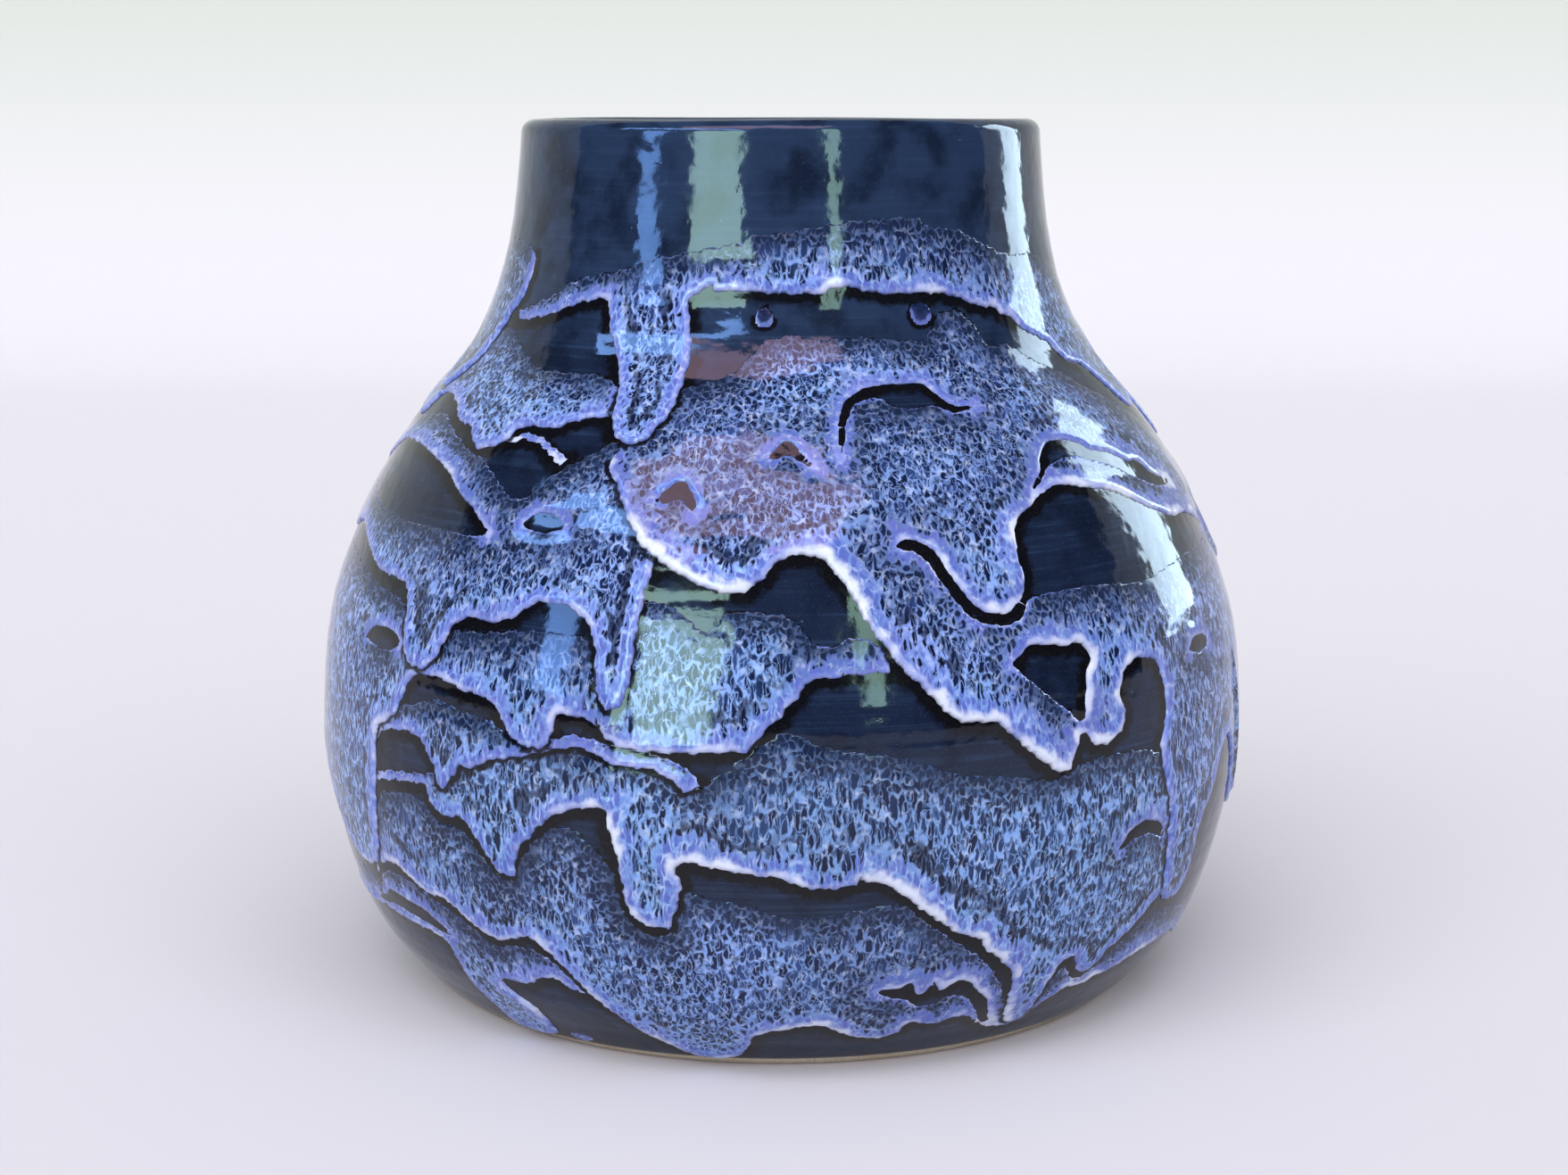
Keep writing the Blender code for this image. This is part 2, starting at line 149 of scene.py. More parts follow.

# Each run has the nodes it stands for, its cast from violet (0) to blue (1), how white
# its bead is, its soft top and its hard lower edge from left to right, and windows in it.
# Its bead is weaker round the weak spots: a place, a reach and the share that stays.
# A drop with a halo below 1 lies that much thinner, and less painted shade falls round it.
# A window has how white its bead is, the hard edge of the glaze above it, and the soft
# top of the glaze below it.
RUNS = {
    "foot_tongue": {
        "nodes": ("run_foot_left",),
        "cast": 0.2,
        "bead": 0.5,
        "top": (
            (-72, 25), (-66, 27), (-60, 25.5), (-56, 29), (-52, 29.6), (-48, 28.8), (-44, 27.2),
            (-40, 25.2), (-36, 22.6), (-32, 23.4), (-28, 22), (-24, 16.2),
        ),
        "edge": (
            (-72, 22), (-66, 20.5), (-60, 21.4), (-52, 21.2), (-47, 20.8), (-45, 19.5),
            (-44.5, 17), (-44, 13), (-43, 9), (-42, 5), (-41, 2.9), (-39, 2.2), (-36, 2.2),
            (-34, 2.6), (-33, 3.8), (-33, 6), (-33.3, 9), (-34, 11), (-35, 12), (-36, 13.5),
            (-37.5, 15), (-36, 16), (-35, 16.3), (-33, 16), (-31.5, 17), (-29, 18.5),
            (-28, 18.5), (-26, 16.8),
        ),
        "windows": (
            (0.4, ((-62, 22.6), (-58, 24.2), (-56, 25.8), (-52, 25.5), (-48, 25), (-46, 23.7),
              (-43.6, 22)),
             ((-60, 22.3), (-56, 23.2), (-52, 23), (-48, 22.5), (-45, 21.8))),
        ),
    },
    "foot_run": {
        "nodes": ("run_lower_left", "run_foot_front"),
        "cast": 0.45,
        "bead": 0.65,
        "top": (
            (-59, 27), (-57, 34), (-54, 42), (-50, 44), (-46, 44.5), (-44, 43.5), (-42, 41.5),
            (-38, 41), (-35, 37), (-32, 34.5), (-30, 38), (-28, 41.5), (-26, 43.5),
            (-24, 44.5), (-22, 43.5), (-20, 41), (-18.5, 38.5), (-17, 31), (-14, 28.5),
            (-12, 30), (-10.5, 36), (-8, 35.3), (-4, 34.5), (-2, 33.5), (0, 32.5), (4, 32.3),
            (8, 33.3), (12, 34), (14, 33.5), (16, 31), (20, 27), (24, 23), (27, 18.5),
            (30, 12.5), (34, 9.8), (35.5, 15.5), (37, 18), (39, 15.5), (41, 14.6), (43, 15.8),
            (45, 18), (48, 20), (50, 21.5), (54, 22.5), (58, 22), (66, 19.5), (74, 21),
            (82, 26), (88, 27), (94, 22.5),
        ),
        "edge": (
            (-60, 24), (-59, 27), (-58, 29), (-56, 30.5), (-54, 31.3), (-52, 31.5),
            (-50, 30.7), (-46, 28.7), (-44, 28.8), (-42, 28.2), (-40, 26.5), (-38, 25),
            (-36, 24), (-34, 24), (-32, 25), (-30, 25.4), (-28, 23.5), (-26, 21), (-24, 17.5),
            (-22, 14.5), (-20, 12), (-18, 9), (-16, 7), (-14, 5), (-12, 3.3), (-10, 2.6),
            (-8, 2.5), (-6, 3.4), (-4.5, 5.5), (-3.3, 9.7), (-2, 10.8), (0, 11.6), (4, 12.8),
            (6, 12), (8, 10.2), (10, 9.1), (13, 8.4), (15.3, 9.8), (16, 11.7), (17, 12),
            (18, 11.2), (20, 10.9), (22, 11.8), (24, 11.5), (26, 9.3), (28, 7.2), (30, 6.5),
            (32, 6.3), (34, 6.7), (35, 8), (36, 10), (38, 12.5), (40, 13), (42, 12.5),
            (44, 13.5), (48, 14.3), (52, 15.3), (60, 15.7), (66, 14.5), (72, 11), (76, 9.2),
            (80, 10.5), (84, 15), (89, 18),
        ),
        "windows": (
            (0.6, ((11.4, 19.2), (14, 19.4), (15.5, 20.3), (16, 18.4), (17, 17.8), (18.3, 20.1),
              (19, 18.2), (20, 18.5), (21.5, 19.7), (23, 19), (24, 17.5), (26, 15),
              (27, 12.5), (27.7, 10), (28.7, 8.5)),
             ((12.5, 18), (15, 17), (17, 15.3), (19, 15.6), (21, 16.8), (23, 16), (25, 13),
              (26, 10.8), (27.2, 8.8))),
        ),
    },
    "middle_run": {
        "weak": ((-46, 46, 14, 0.35), (-32, 40, 13, 0.45), (46, 20, 18, 0.5)),
        "nodes": ("run_middle",),
        "cast": 0.7,
        "bead": 0.9,
        "top": (
            (-54.5, 46), (-50, 47.3), (-46, 48), (-43, 48.6), (-40, 50), (-37, 53),
            (-33, 56), (-26, 57), (-20, 57), (-15, 55.8), (-11, 53.2), (-8.6, 51.8),
            (-7, 53), (-4, 56), (-2, 58), (0, 59.6), (2, 59.5), (4, 58), (8, 56.8),
            (12, 56), (16, 54.5), (20, 52.5), (24, 52), (28, 51), (31, 50.3), (36, 52),
            (44, 52), (50, 50), (57, 48),
        ),
        "edge": (
            (-54.5, 44.8), (-50, 45.8), (-46, 46.5), (-44, 46.5), (-43, 44), (-41.5, 43),
            (-40, 42.5), (-39, 43.3), (-38, 43), (-37, 42), (-36, 40.5), (-34, 37),
            (-33.5, 36), (-32.5, 35.5), (-31, 35.6), (-30.5, 38), (-30, 40), (-28.5, 42),
            (-27, 44), (-26, 45.3), (-24, 46.7), (-22, 47.5), (-20, 47.8), (-19, 47.4),
            (-18.7, 45), (-18, 42), (-17.5, 38), (-17, 33), (-16, 31.2), (-15, 30.3),
            (-12.7, 30), (-12, 31), (-11.5, 33), (-10.8, 36), (-10.8, 38), (-11.3, 39.5),
            (-10.5, 40.8), (-7, 40), (-2, 39), (0, 38.7), (2, 37.5), (4, 37), (6, 37),
            (8, 37.5), (8.6, 38.9), (9.2, 37.7), (10, 38), (12, 36.8), (14, 34.8),
            (16, 32.5), (18, 30.5), (20, 28.5), (22, 27.5), (23.3, 26.8), (24, 25), (26, 23),
            (28, 20.5), (29, 18.5), (29.5, 14), (30, 11), (30.6, 8.7), (32, 7.6), (33.6, 8.2),
            (34.5, 10), (34.8, 14), (35.5, 18), (36.5, 20), (38, 20), (39, 18), (40, 16.3),
            (41.5, 16), (43, 17), (44, 19), (46, 20.5), (48, 22), (51, 25), (54, 28),
            (56.5, 33), (57.5, 41),
        ),
        "windows": (
            (0.5, ((42, 37), (43, 39), (44.5, 40.2), (46, 40.5), (48, 40), (49.5, 39), (50.5, 37)),
             ((43, 37.2), (44, 38), (46, 38.3), (48, 38), (49.6, 37))),
        ),
    },
    "left_strip": {
        "nodes": (),
        "cast": 0.5,
        "bead": 0.35,
        "top": (
            (-55, 55), (-51, 57), (-48, 58), (-46, 58.5), (-42, 60), (-38, 59), (-34, 58.5),
            (-32, 57.5), (-26, 57), (-24, 57.8), (-22, 58), (-18, 57), (-14, 56.5),
            (-10, 54.5), (-8.4, 52),
        ),
        "edge": (
            (-54, 51), (-53, 52.5), (-52, 53.2), (-48, 54), (-46, 54), (-44, 52.8), (-43, 51),
            (-42, 49.5), (-41.5, 47.3), (-41, 47), (-40, 47.5), (-39.5, 49), (-38.5, 49.8),
            (-38, 51), (-36, 51), (-34, 52.5), (-30, 53.8), (-26, 55.3), (-24, 56),
            (-22, 56.3), (-20, 55.5), (-18, 54.3), (-14, 54), (-12, 53), (-10, 51),
        ),
    },
    "belly_left": {
        "nodes": ("run_belly_left", "run_side_left"),
        "cast": 0.4,
        "bead": 0.5,
        "top": (
            (-99, 66), (-95, 72), (-88, 76), (-80, 77.3), (-72, 77), (-66, 75.5), (-62, 75),
            (-58, 74), (-54, 73.5), (-50, 72), (-47, 70), (-44.5, 67.5), (-42, 69.3),
            (-40.5, 70.5), (-36, 71), (-32, 71.8), (-28, 72.3), (-23, 72), (-18, 70),
            (-16.8, 66), (-17, 61),
        ),
        "edge": (
            (-98, 58), (-95, 47), (-92, 41), (-89, 38.5), (-86, 40), (-82, 45), (-78, 44),
            (-74, 38), (-70, 33), (-66, 30), (-62, 28.8), (-58.5, 29.6), (-56.5, 32),
            (-55.5, 36), (-55, 40), (-54.3, 46), (-54, 51), (-53, 53.6), (-50, 56), (-49, 58),
            (-48, 60.5), (-47, 62.5), (-46, 63), (-42, 63.2), (-38, 62), (-36, 62),
            (-34, 61.2), (-32.5, 60), (-32, 58.5), (-31, 57), (-30, 56), (-28, 55.5),
            (-27, 55.5), (-26, 56.5), (-25.5, 58), (-25.1, 60.4), (-23, 60.7), (-20.5, 60), (-19, 58.8),
        ),
        "windows": (
            (0.3, ((-59, 66), (-58, 67.6), (-55, 68.4), (-52, 68), (-50.5, 66.5)),
             ((-57, 65.4), (-54, 65), (-52, 65.6))),
        ),
    },
    "belly_front": {
        "nodes": ("run_belly_front",),
        "cast": 0.55,
        "bead": 0.55,
        "top": (
            (-20, 60), (-20.6, 65), (-20.6, 72), (-19.5, 76), (-16, 78), (-12, 77), (-10, 75),
            (-8, 73.8), (-7, 75.5),
            (-5.5, 76.5), (-4, 76.8), (0, 76.3), (2, 75), (3, 73), (4, 72), (6, 71.8),
            (8, 73), (10, 72.5), (12, 70.5),
        ),
        "edge": (
            (-19.4, 58.4), (-18.5, 57.5), (-17, 56.8), (-14, 56.5),
            (-10, 56.6), (-5, 57), (-3.5, 57), (-2, 59.5), (0, 62), (2, 65), (3, 66.5),
            (4, 67.5), (6, 67.2), (7, 68.2), (8, 67.6), (10, 67.9), (12, 68),
        ),
    },
    "shoulder_left": {
        "nodes": ("run_shoulder_low_left", "run_upper_belly_left"),
        "cast": 0.35,
        "bead": 0.4,
        "top": (
            (-90, 93), (-84, 98), (-76, 101.5), (-68, 102.5), (-64, 103), (-60, 101.5),
            (-54, 99.3), (-50, 97.8), (-46, 97), (-44, 95.5), (-41, 93.7), (-38, 91.5),
            (-36, 91.5), (-34, 93), (-32, 96), (-28, 99), (-24, 102), (-21, 103), (-18, 100),
            (-16, 95),
        ),
        "edge": (
            (-90, 84), (-86, 80.5), (-82, 79.6), (-78, 81), (-74, 81.5), (-68, 79.5),
            (-64, 77.8), (-60, 76.4), (-54, 76), (-52, 75.2), (-50.8, 73), (-50, 69),
            (-49, 65.6), (-47, 64), (-44.5, 64.4), (-42.8, 67), (-41.8, 70), (-40.5, 72),
            (-38, 73), (-36, 72.5), (-34, 73), (-32, 74), (-30, 76), (-28, 76.5), (-26, 76.5),
            (-24, 75.5), (-22, 73.5), (-20.9, 70), (-20.6, 66.5), (-19.8, 63), (-18.5, 62),
            (-17.3, 63.2), (-16.5, 67), (-16.2, 74), (-15.6, 80), (-15, 85),
        ),
        "windows": (
            (0.5, ((-88, 90), (-82, 93.5), (-76, 96.5), (-68, 97), (-64, 96.7), (-60, 96),
              (-56, 95), (-52, 93.5), (-48, 91), (-44, 89), (-42, 87.5), (-39.5, 85.6)),
             ((-84, 88.5), (-76, 87), (-68, 85.5), (-58, 85), (-48, 85), (-42, 84.8))),
            (0.3, ((-34.4, 87.6), (-33, 89.2), (-31, 89.7), (-29, 89), (-27.8, 87.6)),
             ((-33, 87), (-30.5, 86.7))),
        ),
    },
    "front_run": {
        "weak": ((60, 38, 28, 0.35), (-24, 98, 5, 0.5), (48, 62, 10, 0.6)),
        "nodes": (
            "run_shoulder_front", "run_shoulder_right", "run_belly_right", "run_side_right",
        ),
        "cast": 0.3,
        "bead": 1.0,
        "top": (
            (-24, 98), (-22, 104), (-19, 108.5), (-16, 111.5), (-12, 113), (-8, 114.5),
            (-6, 116.5), (-4, 118.5), (-2, 120), (3, 120.8), (6, 120), (14, 120.2), (20, 119.7),
            (26, 119.5), (28, 121), (30, 123), (32, 123.8), (34, 124), (36, 123), (38, 121.5),
            (39, 119.5), (40, 118), (44, 118), (46, 117.5), (50, 115), (56, 112), (60, 109),
            (66, 105.5), (72, 102), (80, 96), (87, 86), (92, 76), (95, 66),
        ),
        "edge": (
            (-23.2, 96.5), (-22, 95), (-20.5, 92), (-19.5, 90), (-18, 87.5), (-17, 85.7),
            (-15, 84.3), (-14, 83.2), (-12, 82), (-10, 80.7), (-8, 79.8), (-6, 79.3),
            (-4, 79.7), (-2.5, 81), (-1, 83), (0, 84.3), (2, 84.9), (4, 84.8), (5, 84.2),
            (6, 83), (8, 79.5), (10, 74.5), (12, 71), (13, 69), (14, 67.5), (16, 65),
            (18, 62), (20, 60.2), (22, 60), (24, 59.7), (26, 57.5), (28, 55), (30, 53),
            (31.5, 51.5), (33, 51.2), (34, 53), (35, 56), (36, 56.2), (36.8, 54.6), (38, 54),
            (40, 54.5), (41.5, 56), (42.2, 58), (41.5, 61), (42, 63), (43, 64.5),
            (44.5, 65.5), (46, 65.5), (48, 65), (49, 64), (49.5, 62), (50, 59), (49.6, 55),
            (48.6, 52), (49, 48), (50, 44), (51, 40), (51.5, 36), (52, 32), (52.5, 28),
            (53.5, 25.5), (55, 24.5), (57, 24.3), (59, 25), (60, 28), (60, 35), (61, 38),
            (63, 40.5), (65, 45), (67, 47.5), (70, 47), (73, 42), (75, 36), (78, 33),
            (81, 34), (83, 39), (85, 47), (88, 54), (92, 58),
        ),
        "windows": (
            (0.8, ((14.3, 86), (15.5, 86.8), (18, 85.8), (19.5, 83.5), (20, 82), (21, 80),
              (22, 78), (23, 76.5), (24, 75.6), (26, 75), (27.5, 75.3), (29, 76.8),
              (30, 78.5), (30.2, 80.5), (30, 83), (30.2, 85.5), (31, 88.3), (34, 90.5),
              (36, 91.8), (38, 92.8), (40, 93.3), (42, 93), (46, 92), (50, 91), (54, 89),
              (57.5, 87), (60, 86), (64, 84.5), (70, 84), (78, 81)),
             ((15, 85.3), (16.6, 84.8), (18, 83), (19, 80.8), (20.2, 78.3), (21.5, 76),
              (23, 74.4), (26, 73.4), (28.5, 74), (30.5, 76.8), (34, 77.3), (40, 77.5),
              (50, 76.5), (56, 77.6), (64, 78.5), (72, 78.5))),
            (0.6, ((35.6, 93.2), (38, 96), (39, 98), (41, 100), (44, 100.5), (48, 99.5),
              (50, 98), (54, 97), (58, 95), (61, 94.6), (64, 92), (70, 89.5)),
             ((37, 93.9), (38, 95), (40, 96.5), (42, 97.2), (46, 97.5), (50, 96.2),
              (54, 94.6), (58, 92.3), (64, 89.8))),
            (0.7, ((26.6, 67.6), (28, 69), (29, 70), (32, 69.8), (34, 69.3), (36, 69.5),
              (37, 68.5), (37.6, 67), (36.8, 65.5), (36.2, 62), (35.8, 58.5)),
             ((27.6, 66.4), (29.5, 64.2), (31.5, 62), (33.5, 60), (35, 58.2))),
            (0.2, ((-16, 92.8), (-15, 94.5), (-13, 96), (-12, 95), (-11, 93), (-10.6, 91)),
             ((-15.2, 92.4), (-13, 93), (-11.6, 91.8))),
            (0.2, ((-1.6, 100), (0, 102.2), (1, 102.6), (2, 102), (3, 100.5), (4.6, 98.2)),
             ((-0.8, 99.8), (1, 100.4), (2.4, 99.6))),
            (0.2, ((8.2, 99.5), (8.4, 103), (8.8, 106), (9.5, 108.5), (11, 110.3), (13, 111.5),
              (16, 112.2), (20, 112.3), (23.5, 112.2), (24.8, 110.8), (26.2, 109.3),
              (27.6, 108), (30, 107.6), (32, 108)),
             ((9.2, 103), (9.8, 106), (10.8, 108), (12, 109.3), (14, 110), (16, 109.8),
              (17, 108.8), (19, 108), (22, 108), (24, 108.4), (26, 107.4), (28, 106.8))),
            (0.3, ((57, 64.4), (58.5, 65.8), (61, 65.9), (63, 64.6)),
             ((58.5, 63.6), (61.5, 63.5))),
        ),
    },
    "left_fronds": {
        "nodes": (),
        "cast": 0.2,
        "bead": 0.6,
        "top": ((-44.5, 100.6), (-40, 102.2), (-37, 101.8), (-34, 100.4), (-30.5, 98.4)),
        "edge": ((-43, 100.2), (-40, 101), (-37, 100.5), (-34, 98.9), (-32, 97.4)),
    },
    "shoulder_top_left": {
        "nodes": ("run_shoulder_left",),
        "cast": 0.3,
        "bead": 0.35,
        "top": (
            (-88, 111), (-84, 115), (-78, 118), (-70, 119.8), (-64, 120), (-58, 119),
            (-54, 117), (-50, 115.5), (-46, 113.8), (-40, 113.5), (-32, 113.5), (-30, 113),
            (-26, 111),
        ),
        "edge": (
            (-86, 108), (-82, 103), (-79, 101), (-76, 102), (-73, 105.5), (-69, 106.5),
            (-66, 106), (-62, 104.8), (-58, 102.5), (-54, 102), (-52, 100.5), (-50, 99),
            (-48.8, 98.5), (-46, 99.2), (-44, 100.2), (-43, 101.5), (-42, 103), (-38, 103.5),
            (-35, 103.5), (-32, 105), (-28, 106), (-25, 106.5),
        ),
    },
    "neck_left": {
        "nodes": (),
        "cast": 0.3,
        "bead": 0.35,
        "top": (
            (-102, 124), (-96, 129), (-88, 132), (-80, 133.5), (-72, 134), (-66, 133.6),
            (-61, 132.6), (-58, 131),
        ),
        "edge": (
            (-99, 120), (-95, 117), (-91, 118.5), (-87, 121), (-83, 117), (-80, 111),
            (-77, 107.5), (-73.5, 107), (-70.5, 109.5), (-67, 114), (-65, 118), (-63, 122),
            (-60.5, 124), (-59, 127),
        ),
    },
    "neck_run": {
        "weak": ((-26, 112, 15, 0.35), (-52, 121, 12, 0.5), (62, 115, 14, 0.5)),
        "nodes": ("run_neck_front",),
        "cast": 0.35,
        "bead": 0.5,
        "top": (
            (-60.5, 122.6), (-56, 123.5), (-52, 124.8), (-48, 126), (-44, 128), (-36, 129.5),
            (-32, 130), (-28, 131.3), (-20, 132.8), (-12, 134), (-8, 134.5), (-6, 135.5),
            (0, 136), (8, 137), (12, 137.5), (20, 138), (28, 138), (30, 137), (38, 136),
            (44, 134), (52, 132), (60, 132), (66, 131), (74, 129.5), (84, 127), (95, 120),
        ),
        "edge": (
            (-58, 121.2), (-52, 122), (-48, 122.8), (-44, 124), (-40, 125), (-35, 125.6),
            (-33.5, 124), (-32.5, 121), (-31, 119), (-29, 116), (-27.5, 113), (-26.5, 110),
            (-26, 107), (-25.4, 104.5), (-24, 102.5), (-22, 101.6), (-20, 102), (-19, 103),
            (-18, 105), (-16.8, 107), (-16.3, 110), (-15.8, 114), (-15.5, 118), (-16.6, 123),
            (-17, 126), (-15, 127.2), (-13, 128), (-12, 127.3), (-6, 127.3), (0, 127),
            (8, 127), (9, 127.5), (12, 128), (16, 127.3), (20, 126.8), (28, 126.8),
            (34, 126.2), (38, 125), (41, 124.2), (44, 124), (45.5, 123), (48, 122.3),
            (49.5, 121.3), (51, 120), (56, 118), (58, 117), (60, 114.5), (62, 113.5),
            (66, 112.6), (69, 109.5), (72, 105), (75, 103), (78, 104), (80, 109), (83, 114.5),
            (88, 117.5),
        ),
    },
    "neck_drop_left": {
        "halo": 0.35,
        "nodes": (),
        "cast": 0.4,
        "bead": 0.05,
        "top": ((-4.8, 123.2), (-4, 124.6), (-2.8, 124.9), (-1.4, 124.2), (-1.1, 122.8)),
        "edge": ((-4.4, 122.2), (-3.2, 121.8), (-2, 122)),
    },
    "neck_drop_right": {
        "halo": 0.35,
        "nodes": (),
        "cast": 0.4,
        "bead": 0.05,
        "top": ((24.3, 123.8), (25.2, 125.2), (27.2, 125.4), (28.7, 124.4), (28.9, 123)),
        "edge": ((24.8, 122.3), (26.2, 121.7), (27.8, 122)),
    },
    "foot_drop": {
        "nodes": (),
        "cast": 0.3,
        "bead": 0.3,
        "top": ((-31.2, 3.4), (-30, 4.5), (-28, 4.4), (-26.8, 3.4)),
        "edge": ((-30.4, 2.6), (-29, 2.3), (-27.6, 2.6)),
    },
}
# The far side's runs are those of the front turned half round, stretched unevenly round the
# wall by degrees of sway and lifted by millimetres.
BACK_NODES = {
    "neck_run": ("run_neck_back",),
    "front_run": ("run_shoulder_back",),
    "middle_run": ("run_belly_back",),
    "foot_run": ("run_foot_back",),
}
BACK_STRETCH = 1.04
BACK_SWAY = 10.0
BACK_LIFT = 7.0


def settings(kind):
    """One group of the scene's vase settings."""
    return getattr(bpy.context.scene, kind)


def curve_through(points, per_span=6):
    """Points of a smooth curve through the given ones."""
    p = np.array(points, float)
    p = np.vstack((2 * p[0] - p[1], p, 2 * p[-1] - p[-2]))
    a, b, c, d = p[:-3], p[1:-2], p[2:-1], p[3:]
    t = (np.arange(per_span) / per_span)[None, :, None]
    a, b, c, d = a[:, None], b[:, None], c[:, None], d[:, None]
    out = 0.5 * (2 * b + (c - a) * t + (2 * a - 5 * b + 4 * c - d) * t**2
                 + (3 * b - a - 3 * c + d) * t**3)
    return np.vstack((out.reshape(-1, 2), p[-2]))


def run_length(points):
    """The distance along a line of points up to each of them."""
    steps = np.linalg.norm(np.diff(points, axis=0), axis=1)
    return np.concatenate(([0.0], np.cumsum(steps)))


def smooth_rise(value, low, high):
    """0 below low and 1 above high, with a smooth rise between."""
    t = np.clip((value - low) / (high - low), 0.0, 1.0)
    return t * t * (3 - 2 * t)


def quarter_round(value, reach):
    """The height of a quarter circle of unit height over its reach."""
    t = np.clip(value / reach, 0.0, 1.0)
    return np.sqrt(1 - (1 - t) ** 2)


def make_wall():
    """The outside as columns of distance up, radius, height and outward direction."""
    knots = [(radius * BELLY_RADIUS, height * HEIGHT) for height, radius in OUTSIDE]
    path = curve_through(knots, OUTSIDE_POINTS)
    up = run_length(path)
    along = np.gradient(path, up, axis=0)
    along /= np.linalg.norm(along, axis=1)[:, None]
    return np.column_stack((up, path, along[:, 1], -along[:, 0]))


WALL = make_wall()
LIP_ROUND = WALL_AT_LIP / 2
WALL_END = WALL[-1, 0] - LIP_ROUND


def wall_place(up, out=0.0):
    """Radius and height up the wall, raised off it by out."""
    radius, height, side, rise = (np.interp(up, WALL[:, 0], WALL[:, i]) for i in range(1, 5))
    return radius + side * out, height + rise * out


def thrown_waves(angle, up):
    """How far the thrown wall stands proud of a true turned form."""
    turn = np.radians(angle)
    rings = RING_DEPTH * np.sin(up * 1.6 + 0.7 * np.sin(turn) + 0.6 * np.sin(up * 0.21))
    rings += FINE_RING_DEPTH * np.sin(up * 3.1 + 1.1 * np.cos(turn))
    sway = (OUT_OF_ROUND * np.sin(turn + 0.8 + up * 0.013)
            + OUT_OF_OVAL * np.sin(2 * turn + 2.1 - up * 0.02))
    dents = DENT_DEPTH * np.sin(5 * turn + 0.09 * up) * np.sin(0.13 * up + 1.3)
    waves = rings + sway + dents
    return waves * smooth_rise(up, *WAVES_START) * (1 - smooth_rise(up, *WAVES_END))


def round_axis(angle, radius, height):
    """Metres of points at an angle, radius and height."""
    turn = np.radians(angle)
    radius, height, turn = np.broadcast_arrays(radius, height, turn)
    return np.stack((radius * np.sin(turn), -radius * np.cos(turn), height), axis=-1) * MM


def on_wall(angle, up, out=0.0):
    """Metres of points on the thrown and glazed wall, raised off it by out."""
    radius, height = wall_place(up, out + thrown_waves(angle, up))
    return round_axis(angle, radius, height)


def flow_coordinate(angle, up):
    """A seamless coordinate in millimetres that rises with the way up the wall."""
    turn = np.radians(angle)
    turn, up = np.broadcast_arrays(turn, up)
    radius = wall_place(up)[0]
    return np.stack((radius * np.sin(turn), -radius * np.cos(turn), up), axis=-1)


# ---------------------------------------------------------------- the runs' outlines

def grid_angles():
    """The grid's columns: fine round the front and coarser round the back."""
    fine = np.arange(-FINE_REACH, FINE_REACH, FINE_STEP)
    left = np.arange(FIRST_ANGLE, -FINE_REACH, COARSE_STEP)
    right = np.arange(fine[-1] + COARSE_STEP, FIRST_ANGLE + 360.0 - COARSE_STEP / 2, COARSE_STEP)
    return np.concatenate((left, fine, right))


ANGLES = grid_angles()
UPS = np.arange(BARE_FOOT, WALL_END, ROW_STEP)


def rippled(points, seed, amount):
    """A smooth line through the points, with the small waver of a flowed edge."""
    line = curve_through(points)
    scale = np.radians(1) * wall_place(line[:, 1])[0]
    length = run_length(np.column_stack((line[:, 0] * scale, line[:, 1])))
    even = np.arange(0, length[-1], SAMPLE)
    line = np.column_stack([np.interp(even, length, line[:, i]) for i in (0, 1)])
    waver = (np.sin(even * 1.7 + seed) + 0.7 * np.sin(even * 3.9 + 2 * seed)
             + 0.5 * np.sin(even * 7.3 + 3 * seed))
    ends = np.minimum(1, np.minimum(even, even[::-1]) / 2)
    line[:, 1] += amount * waver * ends
    line[:, 0] += amount * np.roll(waver, 9) * ends
    return line


def outline_lines(spec, seed):
    """A run's hard and soft lines, and its closed outline and windows."""
    top = rippled(spec["top"], seed, SOFT_WAVER)
    edge = rippled((tuple(top[0]), *spec["edge"], tuple(top[-1])), seed + 1, HARD_WAVER)
    hard, soft, beads = [edge], [top], [spec["bead"]]
    windows = []
    for i, (bead, lip, floor) in enumerate(spec.get("windows", ())):
        lip = rippled(lip, seed + 2 + i, WINDOW_HARD_WAVER)
        floor = (tuple(lip[0]), *floor, tuple(lip[-1]))
        floor = rippled(floor, seed + 3 + i, WINDOW_SOFT_WAVER)
        hard.append(lip)
        soft.append(floor)
        beads.append(bead)
        windows.append(np.vstack((lip, floor[::-1])))
    return hard, soft, beads, np.vstack((top, edge[::-1])), windows


def far_side(spec):
    """The far side's version of a run of the front: turned half round, stretched and lifted."""
    def carry(points):
        carried = []
        for angle, up in points:
            turn = math.radians(angle)
            turned = 180 + angle * BACK_STRETCH + BACK_SWAY * math.sin(2 * turn + 0.7)
            lift = BACK_LIFT * math.sin(1.7 * turn + 0.5) * math.sin(math.pi * up / WALL_END)
            carried.append((turned, up + lift))
        return tuple(carried)

    windows = tuple(
        (bead, carry(lip), carry(floor)) for bead, lip, floor in spec.get("windows", ()))
    return {"cast": spec["cast"], "bead": spec["bead"], "top": carry(spec["top"]),
            "edge": carry(spec["edge"]), "windows": windows}


def inside_outline(outline, angles, ups):
    """Which points of the grid lie inside a closed outline."""
    a, b = outline, np.roll(outline, -1, axis=0)
    inside = np.zeros((len(ups), len(angles)), bool)
    for row, up in enumerate(ups):
        cross = (a[:, 1] <= up) != (b[:, 1] <= up)
        if not cross.any():
            continue
        p, q = a[cross], b[cross]
        at = p[:, 0] + (up - p[:, 1]) / (q[:, 1] - p[:, 1]) * (q[:, 0] - p[:, 0])
        inside[row] = np.searchsorted(np.sort(at), angles) % 2 == 1
    return inside


